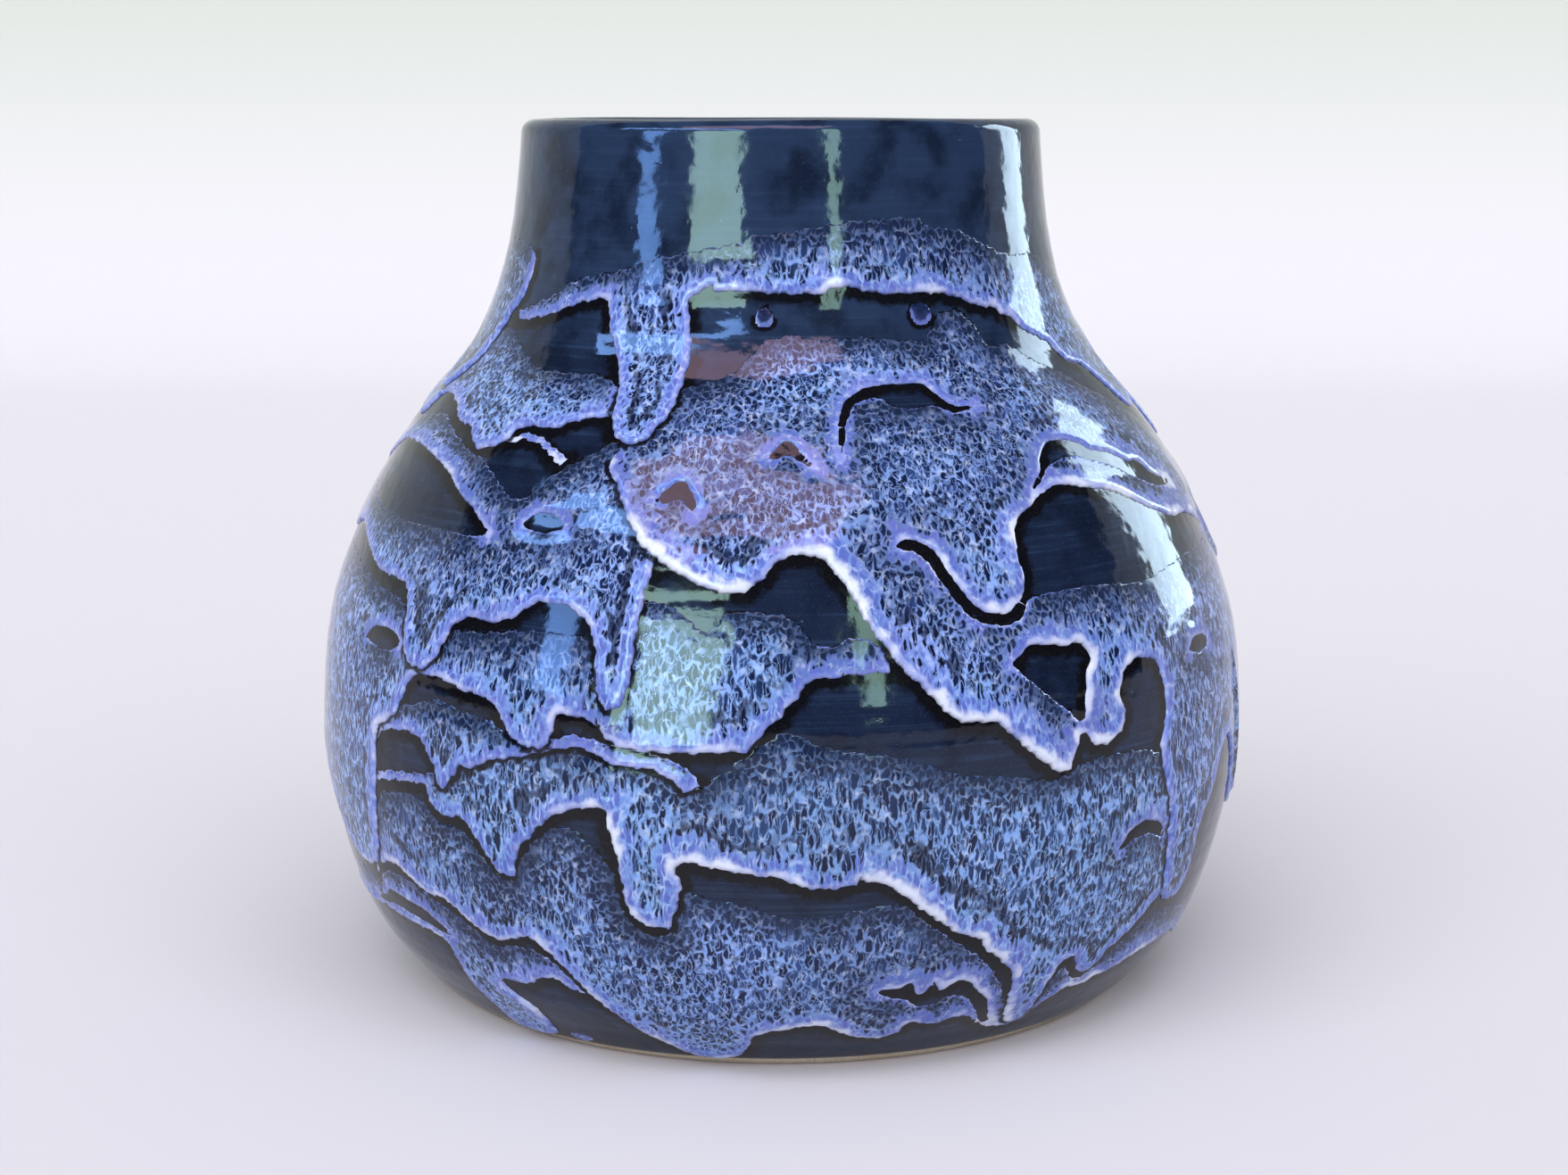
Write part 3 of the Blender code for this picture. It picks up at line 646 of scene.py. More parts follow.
def nearest(lines, places):
    """For each place the distance in millimetres to the lines, and the nearest sample."""
    samples = np.vstack(lines)
    spots = round_axis(samples[:, 0], *wall_place(samples[:, 1]))
    tree = KDTree(len(spots))
    for i, spot in enumerate(spots):
        tree.insert(spot, i)
    tree.balance()
    found = [tree.find(place)[1:] for place in places]
    index = np.array([i for i, _ in found])
    distance = np.array([d for _, d in found]) / MM
    return distance, samples[index], index


def box_blur(grid, reach, rounds=2):
    """A grid smoothed by taking means over a square."""
    for _ in range(rounds):
        for axis in (0, 1):
            border = [(reach, reach) if i == axis else (0, 0) for i in (0, 1)]
            padded = np.pad(grid, border, "edge")
            total = sum(np.roll(padded, k, axis) for k in range(-reach, reach + 1))
            keep = [slice(None), slice(None)]
            keep[axis] = slice(reach, -reach)
            grid = total[tuple(keep)] / (2 * reach + 1)
    return grid


class Run:
    """One poured run on the wall's grid."""

    def __init__(self, name, spec, seed):
        self.name = name
        self.cast = spec["cast"]
        self.halo = spec.get("halo", 1.0)
        hard, soft, beads, outline, windows = outline_lines(spec, seed)
        self.take_grid(outline)
        self.inside = inside_outline(outline, self.angles, self.ups)
        for window in windows:
            self.inside &= ~inside_outline(window, self.angles, self.ups)
        shape = self.inside.shape
        angle, up = np.meshgrid(self.angles, self.ups)
        places = round_axis(angle, *wall_place(up)).reshape(-1, 3)
        to_hard, hard_spot, hard_index = nearest(hard, places)
        to_soft, soft_spot, _ = nearest(soft, places)
        self.to_hard = to_hard.reshape(shape)
        self.to_soft = to_soft.reshape(shape)
        closest = np.where((to_hard < to_soft)[:, None], hard_spot, soft_spot)
        self.edge_spot = closest.reshape(*shape, 2)
        self.depth = np.where(self.inside, 1, -1) * np.minimum(self.to_hard, self.to_soft)
        whiteness = np.repeat(beads, [len(line) for line in hard])[hard_index].reshape(shape)
        over_edge = (up - hard_spot[:, 1].reshape(shape)) / np.maximum(self.to_hard, 0.1)
        upright = UPRIGHT_WHITE + (1 - UPRIGHT_WHITE) * smooth_rise(over_edge, 0, 0.8)
        whiteness = whiteness * self.unevenness(angle, up, spec.get("weak", ()), seed) * upright
        least = LEAST_WHITE if self.halo == 1 else 0.0
        self.pale = np.maximum(box_blur(whiteness, WHITE_BLUR), least)

    def take_grid(self, outline):
        """Take the grid's rows and columns that hold the outline, from left to right."""
        least, most = outline.min(axis=0), outline.max(axis=0)
        centre = (least[0] + most[0]) / 2
        turned = centre + (ANGLES - centre + 180) % 360 - 180
        least, most = least - GRID_MARGIN, most + GRID_MARGIN
        order = np.argsort(turned)
        columns = order[((turned > least[0]) & (turned < most[0]))[order]]
        rows = np.flatnonzero((UPS > least[1]) & (UPS < most[1]))
        self.angles = turned[columns]
        self.ups = UPS[rows]
        self.patch = np.ix_(rows, columns)

    @staticmethod
    def unevenness(angle, up, weak_spots, seed):
        """How the bead's whiteness comes and goes, and fades round its weak spots."""
        uneven = 0.85 + 0.25 * np.sin(angle * 0.31 + seed) * np.sin(up * 0.17 + seed)
        for weak_angle, weak_up, reach, share in weak_spots:
            aside = (angle - weak_angle) * np.radians(wall_place(up)[0])
            away = np.hypot(aside, up - weak_up)
            uneven *= share + (1 - share) * smooth_rise(away, 0.6 * reach, 1.2 * reach)
        return uneven


class Glazing:
    """All runs, from the lowest to the uppermost, and how they lie on each other."""

    def __init__(self):
        glaze = settings("vase_glaze")
        numbered = list(enumerate(RUNS.items()))
        self.runs = [Run(name + "_far", far_side(spec), 40 + 3 * seed)
                     for seed, (name, spec) in numbered if spec["nodes"]]
        self.runs += [Run(name, spec, 3 * seed) for seed, (name, spec) in numbered]
        shape = (len(UPS), len(ANGLES))
        height = np.zeros(shape)
        for run in self.runs:
            run.below = height[run.patch]
            run.thick = self.thickness(run, glaze)
            height[run.patch] += np.where(run.inside, run.thick, 0.0)
        covered = np.full(shape, -FAR)
        self.coat_shade = np.full(shape, FAR)
        for run in reversed(self.runs):
            run.covered = covered[run.patch]
            run.shade = self.coat_shade[run.patch]
            covered[run.patch] = np.maximum(run.covered, run.depth)
            away = np.where(run.inside, 0.0, run.to_hard / run.halo)
            self.coat_shade[run.patch] = np.minimum(run.shade, away)

    @staticmethod
    def thickness(run, glaze):
        """How thick a run lies: thin under its soft top, and a bead at its hard edge."""
        bead = glaze.bead_height / MM
        body = glaze.run_thickness / MM
        hard, soft = run.to_hard, run.to_soft
        fade = np.exp(-np.maximum(hard - BEAD_WIDTH, 0) / BEAD_FADE)
        swell = bead * (0.1 + 0.9 * run.pale) * fade * smooth_rise(soft, *BEAD_RISE)
        flat = FILM * np.minimum(soft / FILM_REACH, 1.0) + VEIL * smooth_rise(soft, 0.0, VEIL_REACH)
        flat += body * smooth_rise(soft, 0.0, BODY_REACH)
        return run.halo * quarter_round(hard, RIM_ROUND) * (flat + swell)


def glazing():
    """The glazing, worked out once."""
    if not hasattr(glazing, "made"):
        glazing.made = Glazing()
    return glazing.made


# ---------------------------------------------------------------- meshes

def store(mesh, name, kind, values):
    """Store a value at each of a mesh's vertices for its material."""
    layer = mesh.attributes.new(name, kind, "POINT")
    field = "vector" if kind == "FLOAT_VECTOR" else "value"
    layer.data.foreach_set(field, np.ascontiguousarray(values, np.float32).ravel())


def add_piece(name, mesh, material, nodes=()):
    """Link a piece, shade it smooth, and tie it to the frame."""
    mesh.materials.append(material)
    mesh.shade_smooth()
    piece = bpy.data.objects.new(name, mesh)
    bpy.context.scene.collection.objects.link(piece)
    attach(piece, "root")
    if nodes:
        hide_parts(*nodes)
    return piece


def ring_faces(rows, columns, loop_rows=False):
    """Quads of a grid that closes round the axis, and from last row to first on request."""
    index = np.arange(rows * columns).reshape(rows, columns)
    low = index if loop_rows else index[:-1]
    high = np.roll(index, -1, axis=0) if loop_rows else index[1:]
    quads = np.stack((low, np.roll(low, -1, axis=1), np.roll(high, -1, axis=1), high), axis=-1)
    return quads.reshape(-1, 4)


def grid_mesh(name, places, faces):
    """A mesh from an array of places and its quads."""
    mesh = bpy.data.meshes.new(name)
    mesh.from_pydata(places.reshape(-1, 3).tolist(), [], faces.tolist())
    mesh.update()
    return mesh


def close_centre(mesh, row, flip):
    """Fill a ring of vertices at the axis with one face."""
    ring = row if flip else row[::-1]
    work = bmesh.new()
    work.from_mesh(mesh)
    work.verts.ensure_lookup_table()
    work.faces.new([work.verts[i] for i in ring])
    work.to_mesh(mesh)
    work.free()


def lip_places(out, count):
    """Radius and height of the half round over the lip, from outside to inside."""
    radius, height = wall_place(WALL_END, -LIP_ROUND)
    turn = np.pi * np.arange(1, count + 1) / (count + 1)
    reach = LIP_ROUND + out
    return radius + np.cos(turn) * reach, height + np.sin(turn) * reach


def inner_wall(down, out):
    """Radius and height of the inside at distances below the lip's round."""
    up = WALL_END - down
    wall = WALL_AT_FOOT + (WALL_AT_LIP - WALL_AT_FOOT) * up / WALL_END
    return wall_place(up, -wall - out)


def inside_places(start, out, step=1.0):
    """Radius and height down the inside from a distance below the lip's round to the centre."""
    every = np.linspace(0.0, WALL_END, 2000)
    bottom = every[inner_wall(every, out)[1] > FLOOR_TOP + FLOOR_FILLET][-1]
    radius, height = inner_wall(np.append(np.arange(start, bottom - step / 2, step), bottom), out)
    # The fillet bends from the foot of the wall, past a corner, to the end of the flat floor.
    t = np.linspace(0, 1, 14)[1:]
    corner, floor = radius[-1] - 0.4 * FLOOR_FILLET, FLOOR_TOP + out
    end = corner - 1.4 * FLOOR_FILLET
    bend_radius = radius[-1] * (1 - t) ** 2 + corner * 2 * t * (1 - t) + end * t**2
    bend_height = height[-1] * (1 - t) ** 2 + floor * 2 * t * (1 - t) + floor * t**2
    across = np.arange(end - step, LAST_RING, -step)
    radius = np.concatenate((radius, bend_radius, across))
    return radius, np.concatenate((height, bend_height, np.full(len(across), floor)))


def underside_places(edge):
    """Radius and height across the trimmed underside, from the foot's edge to the axis."""
    ring_step, step = 0.45, 0.6
    ring = edge - FOOT_RING_WIDTH
    radius = np.concatenate((
        np.arange(edge - FOOT_CHAMFER, ring, -ring_step),
        np.linspace(ring, ring - FOOT_RECESS, 7),
        np.arange(ring - FOOT_RECESS - step, LAST_RING, -step),
    ))
    recess = smooth_rise(ring - radius, 0.0, FOOT_RECESS)
    grooves = 0.09 * np.sin(radius * 2.1) + 0.04 * np.sin(radius * 5.3)
    return radius, FOOT_RECESS * recess + grooves * recess


def build_clay(material):
    """The thrown stoneware: one closed shell with a trimmed foot ring."""
    columns = np.arange(0, 360, ROUND_STEP)
    fine_to, fine_step, step = 4.0, 0.25, 4.0
    up = np.concatenate((np.arange(FOOT_CHAMFER, fine_to, fine_step),
                         np.arange(fine_to, WALL_END, step)))
    outside = wall_place(up, -CLAY_SUNK)
    lip = lip_places(-CLAY_SUNK, count=7)
    inside = inside_places(0.0, -CLAY_SUNK, step)
    under = underside_places(outside[0][0])
    radius = np.concatenate((under[0][::-1], outside[0], lip[0], inside[0]))
    height = np.concatenate((under[1][::-1], outside[1], lip[1], inside[1]))
    places = round_axis(columns[None, :], radius[:, None], height[:, None])
    mesh = grid_mesh("stoneware_body", places, ring_faces(len(radius), len(columns)))
    rings = np.arange(places.shape[0] * places.shape[1]).reshape(places.shape[:2]).tolist()
    close_centre(mesh, rings[0], False)
    close_centre(mesh, rings[-1], True)
    store(mesh, "flow", "FLOAT_VECTOR", places.reshape(-1, 3) / MM)
    add_piece("stoneware_body", mesh, material, ("clay_body",))


def build_liner(material):
    """The coat of the inside, with the spiral that the thrower's fingers left."""
    columns = np.arange(0, 360, ROUND_STEP)
    radius, height = inside_places(INNER_LAP - LAP, 0.0, step=0.8)
    length = run_length(np.column_stack((radius, height)))
    turn = np.radians(columns)[None, :]
    spiral = np.sin(length[:, None] * 2 * np.pi / SPIRAL_PITCH + turn)
    ends = smooth_rise(length, 0, 6) * smooth_rise(length[::-1], 0, 9)
    side = np.gradient(height, length)[:, None]
    rise = np.gradient(radius, length)[:, None]
    lapped = LAP_LIFT * smooth_rise(length, 2 * LAP, 0.0)
    lift = (SPIRAL_DEPTH * ends)[:, None] * spiral + lapped[:, None]
    lifted = (radius[:, None] + side * lift, height[:, None] - rise * lift)
    places = round_axis(columns[None, :], *lifted)
    mesh = grid_mesh("inner_glaze", places, ring_faces(len(radius), len(columns))[:, ::-1])
    count = len(columns)
    close_centre(mesh, list(range((len(radius) - 1) * count, len(radius) * count)), False)
    up = np.broadcast_to(length[:, None], places.shape[:2])
    store(mesh, "flow", "FLOAT_VECTOR", flow_coordinate(columns[None, :], up))
    store(mesh, "under", "FLOAT", np.full(places.shape[:2], FAR))
    piece = add_piece("inner_glaze", mesh, material, ("liner_glaze",))
    thicken(piece, GLAZE)


def thicken(piece, amount):
    """Give a skin its thickness inward."""
    solid = piece.modifiers.new("Thickness", "SOLIDIFY")
    solid.thickness = amount * MM
    solid.offset = -1.0
    solid.use_even_offset = False


def build_coat(material):
    """The navy coat: up the outside, over the lip and a little way down the inside."""
    columns = slice(0, len(ANGLES), 2)
    angles = ANGLES[columns]
    turn = np.radians(angles)[None, :]
    foot_wave = 0.16 * np.sin(3 * turn + 0.4) + 0.10 * np.sin(7 * turn + 1.7)
    up = UPS[:, None] + foot_wave * (1 - smooth_rise(UPS, 2.0, 7.0))[:, None]
    sunk = (quarter_round(UPS - UPS[0], FOOT_ROUND) - 1)[:, None] * (GLAZE - COAT_EDGE)
    outside = on_wall(angles[None, :], up, sunk)
    lip_radius, lip_height = lip_places(0.0, count=15)
    waver = 0.10 * np.sin(2 * turn + 0.5) + 0.05 * np.sin(5 * turn)
    lip = round_axis(angles[None, :], lip_radius[:, None], lip_height[:, None] + waver)
    inner = inner_wall(np.arange(0.0, INNER_LAP + 0.1), 0.0)
    inner_side = round_axis(angles[None, :], inner[0][:, None], inner[1][:, None])
    back_in = round_axis(angles[None, :], inner[0][-1] + GLAZE - COAT_EDGE, inner[1][-1])
    back_up = np.linspace(WALL_END, UPS[0], 24)[:, None]
    back = on_wall(angles[None, :], back_up, -GLAZE)
    places = np.concatenate((outside, lip, inner_side, back_in.reshape(1, -1, 3), back))
    faces = ring_faces(len(places), len(angles), loop_rows=True)
    mesh = grid_mesh("navy_coat", places, faces)
    beyond = WALL_END + 1.0 * np.arange(1, len(places) - len(UPS) + 1)
    along = np.concatenate((UPS, beyond))
    store(mesh, "flow", "FLOAT_VECTOR", flow_coordinate(angles[None, :], along[:, None]))
    shade = np.full(places.shape[:2], FAR)
    shade[: len(UPS)] = glazing().coat_shade[:, columns]
    store(mesh, "under", "FLOAT", shade)
    add_piece("navy_coat", mesh, material, ("base_glaze",))


def build_run(run, material, nodes):
    """One poured run: the grid's quads inside its outline, drawn in to the outline."""
    free = run.covered < UNDERLAP
    rows, columns = run.inside.shape
    index = np.arange(rows * columns).reshape(rows, columns)
    corners = (index[:-1, :-1], index[:-1, 1:], index[1:, 1:], index[1:, :-1])
    quads = np.stack(corners, axis=-1).reshape(-1, 4)
    inside = run.inside.ravel()[quads]
    open_side = free.ravel()[quads]
    quads = quads[inside.any(axis=1) & open_side.any(axis=1)]
    used = np.unique(quads)
    renumber = np.full(rows * columns, -1)
    renumber[used] = np.arange(len(used))
    quads = renumber[quads]
    angle, up = (values.ravel()[used] for values in np.meshgrid(run.angles, run.ups))
    within = run.inside.ravel()[used]
    spot = run.edge_spot.reshape(-1, 2)[used]
    angle = np.where(within, angle, spot[:, 0])
    up = np.where(within, up, spot[:, 1])
    under = run.below.ravel()[used]
    rim = np.where(run.to_soft < run.to_hard, SOFT_EDGE, SUNK_EDGE).ravel()[used]
    out = np.where(within, run.thick.ravel()[used], rim) + under
    mesh = grid_mesh(run.name, on_wall(angle, up, out), quads)
    store(mesh, "flow", "FLOAT_VECTOR", flow_coordinate(angle, up))
    store(mesh, "hard", "FLOAT", np.where(within, run.to_hard.ravel()[used], 0.0))
    store(mesh, "soft", "FLOAT", np.where(within, run.to_soft.ravel()[used], 0.0))
    store(mesh, "under", "FLOAT", run.shade.ravel()[used])
    store(mesh, "pale", "FLOAT", run.pale.ravel()[used])
    store(mesh, "cast", "FLOAT", np.full(len(used), run.cast))
    piece = add_piece(run.name, mesh, material, nodes)
    thicken(piece, RUN_SKIN)


# ---------------------------------------------------------------- materials

class Shader:
    """A material's node tree, built from the output backward."""

    def __init__(self, name):
        self.material = bpy.data.materials.new(name)
        self.material.use_nodes = True
        self.tree = self.material.node_tree
        self.main = self.tree.nodes["Principled BSDF"]

    def put(self, socket, value):
        """Link a socket or set its own value."""
        if isinstance(value, bpy.types.NodeSocket):
            self.tree.links.new(value, socket)
        elif socket.type == "RGBA" and len(value) == 3:
            socket.default_value = (*value, 1.0)
        else:
            socket.default_value = value

    def node(self, kind, inputs=(), **options):
        """A node with its options and its inputs, by name or number."""
        node = self.tree.nodes.new("ShaderNode" + kind)
        for option, value in options.items():
            setattr(node, option, value)
        for key, value in dict(inputs).items():
            self.put(node.inputs[key], value)
        return node

    def stored(self, name):
        """A value stored at the mesh's vertices."""
        node = self.node("Attribute", attribute_name=name)
        return node.outputs["Vector" if name == "flow" else "Fac"]

    def math(self, operation, a, b=0.0, c=0.0):
        """One sum of numbers."""
        return self.node("Math", {0: a, 1: b, 2: c}, operation=operation).outputs[0]

    def vector(self, operation, a, b=(0.0, 0.0, 0.0)):
        """One sum of vectors."""
        return self.node("VectorMath", {0: a, 1: b}, operation=operation).outputs[0]

    def rise(self, value, low, high, start=0.0, end=1.0):
        """A smooth rise from start to end as the value goes from low to high."""
        inputs = {0: value, 1: low, 2: high, 3: start, 4: end}
        return self.node("MapRange", inputs, interpolation_type="SMOOTHSTEP").outputs[0]

    def noise(self, place, size, detail=2.0, rough=0.5, colour=False):
        """Noise whose blobs have about the given size in millimetres."""
        inputs = {"Vector": place, "Scale": 1.0 / size, "Detail": detail, "Roughness": rough}
        node = self.node("TexNoise", inputs, noise_dimensions="3D")
        return node.outputs["Color" if colour else "Fac"]

    def cells(self, place, size, feature="DISTANCE_TO_EDGE", output="Distance"):
        """Cells of about the given size in millimetres."""
        inputs = {"Vector": place, "Scale": 1.0 / size}
        return self.node("TexVoronoi", inputs, feature=feature).outputs[output]

    def pick(self, place, size):
        """A number drawn for each cell of about the given size."""
        return self.cells(place, size, "F1", "Color")

    def hang(self, place, size):
        """How far below its cell's centre a place is, as a share of the cell."""
        centre = self.cells(place, size, "F1", "Position")
        apart = self.vector("SUBTRACT", centre, place)
        return self.math("DIVIDE", self.node("SeparateXYZ", {0: apart}).outputs["Z"], size)

    def blend(self, share, a, b):
        """Colour a turned into colour b by a share."""
        node = self.node("Mix", {0: share, 6: a, 7: b}, data_type="RGBA")
        return node.outputs[2]

    def mean(self, share, a, b):
        """Number a turned into number b by a share."""
        return self.node("Mix", {0: share, 2: a, 3: b}, data_type="FLOAT").outputs[0]

    def bump(self, height, distance, before=None):
        """A bump whose height is in millimetres."""
        inputs = {"Height": height, "Distance": distance * MM, "Strength": 1.0}
        node = self.node("Bump", inputs)
        if before is not None:
            self.put(node.inputs["Normal"], before)
        return node.outputs["Normal"]


def scaled(colour, share):
    """A share of a colour."""
    return tuple(share * c for c in colour)


def navy_ground(sh, flow, glaze):
    """The navy glaze's colour: faint throwing lines, clouds, a paler neck and pale specks."""
    level = sh.vector("MULTIPLY", flow, (0.035, 0.035, 1.6))
    lines = sh.noise(level, 1.0, 3.0, 0.6)
    clouds = sh.noise(flow, 7.0, 3.0)
    up = sh.node("SeparateXYZ", {0: flow}).outputs["Z"]
    neck = sh.rise(up, 112.0, 128.0, 0.0, 0.5)
    colour = sh.blend(neck, glaze.navy, glaze.navy_light)
    colour = sh.blend(sh.rise(lines, 0.45, 0.75, 0.0, 0.55), colour, glaze.navy_light)
    colour = sh.blend(sh.rise(clouds, 0.42, 0.7, 0.0, 0.8), colour, scaled(glaze.navy, 0.5))
    grain = sh.noise(flow, 0.3, 2.0)
    colour = sh.blend(sh.rise(grain, 0.56, 0.75, 0.0, 0.45), colour, glaze.navy_light)
    spacing, picked, radius = 1.7, 0.85, 0.09
    dots = sh.math("LESS_THAN", sh.cells(flow, spacing, "F1"), radius)
    chosen = sh.math("GREATER_THAN", sh.pick(flow, spacing), picked)
    speck = sh.math("MULTIPLY", dots, chosen)
    return sh.blend(sh.math("MULTIPLY", speck, 0.5), colour, (0.10, 0.14, 0.24))


def painted_edge_shade(sh, colour, flow, reach, glaze):
    """Colour darkened below a run's hard edge by painted shade under its raised bead, with rusty flecks.
    """
    under = sh.stored("under")
    uneven = sh.noise(flow, 1.4, 3.0)
    shifted = sh.math("ADD", under, sh.rise(uneven, 0.3, 0.7, -0.35, 0.35))
    # How much painted shade falls here, fading over the reach below the hard edge.
    share = sh.rise(shifted, 0.45 * reach, reach, 0.96, 0.0)
    flecks = sh.noise(flow, 0.22, 2.0)
    rusty = (0.035, 0.028, 0.016)
    dark = sh.blend(sh.rise(flecks, 0.60, 0.74, 0.0, 0.6), glaze.edge_shade_colour, rusty)
    return sh.blend(share, colour, dark)


def gloss(sh, flow, glaze, ripple=0.02):
    """The fired surface: glossy, with slow ripples and a few pinholes."""
    sh.main.inputs["IOR"].default_value = 1.5
    sh.main.inputs["Specular IOR Level"].default_value = 0.28
    patches = sh.noise(flow, 5.0, 2.0)
    rough = sh.rise(patches, 0.35, 0.75, glaze.gloss_roughness, glaze.gloss_roughness * 1.9)
    sh.put(sh.main.inputs["Roughness"], rough)
    slow = sh.bump(sh.noise(flow, 3.2, 1.0), ripple * 4)
    fine = sh.bump(sh.noise(flow, 0.9, 2.0), ripple * 0.5, slow)
    sh.put(sh.main.inputs["Normal"], fine)


def navy_material(name, reach):
    """The navy glaze, with painted shade over a reach below the runs' hard edges."""
    glaze = settings("vase_glaze")
    sh = Shader(name)
    flow = sh.stored("flow")
    colour = navy_ground(sh, flow, glaze)
    if reach:
        # Painted shade on the navy below the runs' hard edges.
        colour = painted_edge_shade(sh, colour, flow, reach, glaze)
    sh.put(sh.main.inputs["Base Color"], colour)
    gloss(sh, flow, glaze)
    return sh.material


class PouredGlaze(Shader):
    """The poured glaze's nodes, worked out from the values stored on a run."""

    def __init__(self, name, glaze):
        super().__init__(name)
        self.glaze = glaze
        self.flow, self.hard, self.soft, self.cast, white = (
            self.stored(n) for n in ("flow", "hard", "soft", "cast", "pale"))
        self.patches = self.noise(self.flow, 6.0, 2.0)
        self.clouds = self.noise(self.flow, 15.0, 2.0)
        self.bright = self.noise(self.flow, 1.2, 3.0)
        patchy = self.rise(self.noise(self.flow, 7.0, 2.0), 0.35, 0.65, 0.45, 1.2)
        self.pale = self.math("MULTIPLY", white, patchy)
        self.width = self.rise(self.pale, 0.0, 1.0, 0.38, 1.05)
        self.lay_cells()
        self.draw_net()

    def lay_cells(self):
        """The cells of the lace, drawn out into streaks below the soft top."""
        cell = self.glaze.lace_cell / MM
        stretch = self.glaze.lace_cell / self.glaze.streak_length
        pull = self.noise(self.flow, 1.5, 1.0, 0.5, colour=True)
        pull = self.vector("SUBTRACT", pull, (0.5, 0.5, 0.5))
        self.warped = self.vector("ADD", self.flow, self.vector("MULTIPLY", pull, (1.2, 1.2, 1.5)))
        drawn = self.vector("ADD", self.flow, self.vector("MULTIPLY", pull, (0.8, 0.8, 1.6)))
        self.tall = self.vector("MULTIPLY", drawn, (1.0, 1.0, stretch))
        lace = self.vector("MULTIPLY", self.warped, (1.0, 1.0, 0.65))
        uneven = self.rise(self.patches, 0.3, 0.7, -2.0, 2.0)
        self.lower = self.rise(self.math("ADD", self.soft, uneven), 1.0, 4.0)
        kinds = ((lace, cell), (self.tall, 1.08 * cell))
        self.apart, self.picked, self.hanging = (
            self.mean(self.lower, *(measure(*kind) for kind in kinds))
            for measure in (self.cells, self.pick, self.hang))

    def draw_net(self):
        """The lace's lines: thick near the hard edge, broken above it, sparse in the trough."""
        fingers = self.rise(self.noise(self.tall, 1.1, 1.0), 0.3, 0.7, -1.0, 1.0)
        self.edge = self.math("ADD", self.math("DIVIDE", self.hard, self.width), fingers)
        low = self.rise(self.edge, 0.8, 4.6, 0.42, 0.0)
        wall = self.math("ADD", low, self.rise(self.edge, 4.0, 12.0, 0.13, 0.095))
        wall = self.math("ADD", wall, self.rise(self.hanging, -0.40, 0.45, -0.06, 0.10))
        net = self.rise(self.math("SUBTRACT", self.apart, wall), -0.07, 0.08, 1.0, 0.0)
        broken = self.rise(self.noise(self.warped, 1.0, 1.0), 0.33, 0.55, 0.2, 1.0)
        cupped = self.rise(self.hanging, -0.45, 0.20, 0.40, 1.0)
        far = self.rise(self.edge, 3.0, 8.0)
        net = self.math("MULTIPLY", net, self.mean(far, 1.0, broken))
        net = self.math("MULTIPLY", net, self.mean(far, 1.0, cupped))
        thin = self.math("ABSOLUTE", self.math("SUBTRACT", self.noise(self.tall, 0.8, 1.0), 0.5))
        threads = self.math("MULTIPLY", self.rise(thin, 0.0, 0.045, 0.8, 0.0), self.lower)
        net = self.math("MAXIMUM", net, threads)
        above_edge = self.rise(self.edge, 6.5, 11.5, 1.0, 0.0)
        trough = self.math("MULTIPLY", above_edge, self.rise(self.soft, 2.0, 7.0))
        self.trough = self.math("MULTIPLY", trough, self.rise(self.clouds, 0.42, 0.58, 1.0, 0.35))
        sparse = self.math("MULTIPLY", self.trough, self.rise(self.edge, 4.0, 6.0))
        self.net = self.math("MULTIPLY", net, self.rise(sparse, 0.45, 0.95, 1.0, 0.22))

    def ground(self):
        """The colour between the lines: dark and filled cells, a navy top and the trough."""
        glaze = self.glaze
        middle = self.blend(self.cast, glaze.net_violet, glaze.net_blue)
        filled = self.math("ADD", self.rise(self.picked, 0.1, 0.95, -0.3, 0.7),
                           self.rise(self.patches, 0.3, 0.7, -0.35, 0.4))
        ground = self.blend(self.rise(filled, 0.0, 1.0), glaze.net_ground, middle)
        top = self.rise(self.soft, 0.0, 5.0, 0.9, 0.0)
        ground = self.blend(top, ground, scaled(glaze.navy, 1.3))
        return self.blend(self.trough, ground, glaze.trough)

    def lines(self):
        """The lines' colour: dim near the soft top and in slow drifts, with paler stretches."""
        glaze = self.glaze
        line = self.blend(self.cast, glaze.violet, glaze.blue)
        line = self.blend(self.rise(self.clouds, 0.4, 0.65, 0.0, 0.5), line, glaze.blue)
        dim = self.blend(self.cast, scaled(glaze.violet, 0.5), scaled(glaze.blue, 0.5))
        drift = self.rise(self.noise(self.flow, 24.0, 1.0), 0.38, 0.62, -0.15, 0.45)
        shade = self.math("ADD", self.rise(self.soft, 1.0, 9.0, 0.7, 0.0), drift)
        line = self.blend(self.rise(shade, 0.0, 1.0, 0.0, 0.9), line, dim)
        return self.blend(self.rise(self.bright, 0.45, 0.75, 0.0, 0.4), line, glaze.bead)

    def solid(self, line):
        """The solid glaze above the bead, where the lines still show."""
        glaze = self.glaze
        solid = self.blend(self.rise(self.patches, 0.35, 0.7), glaze.solid, glaze.solid_violet)
        ridge = self.rise(self.apart, 0.03, 0.17, 1.0, 0.0)
        shown = self.math("MULTIPLY", ridge, self.rise(self.bright, 0.3, 0.7, 0.35, 1.0))
        return self.blend(shown, solid, line)

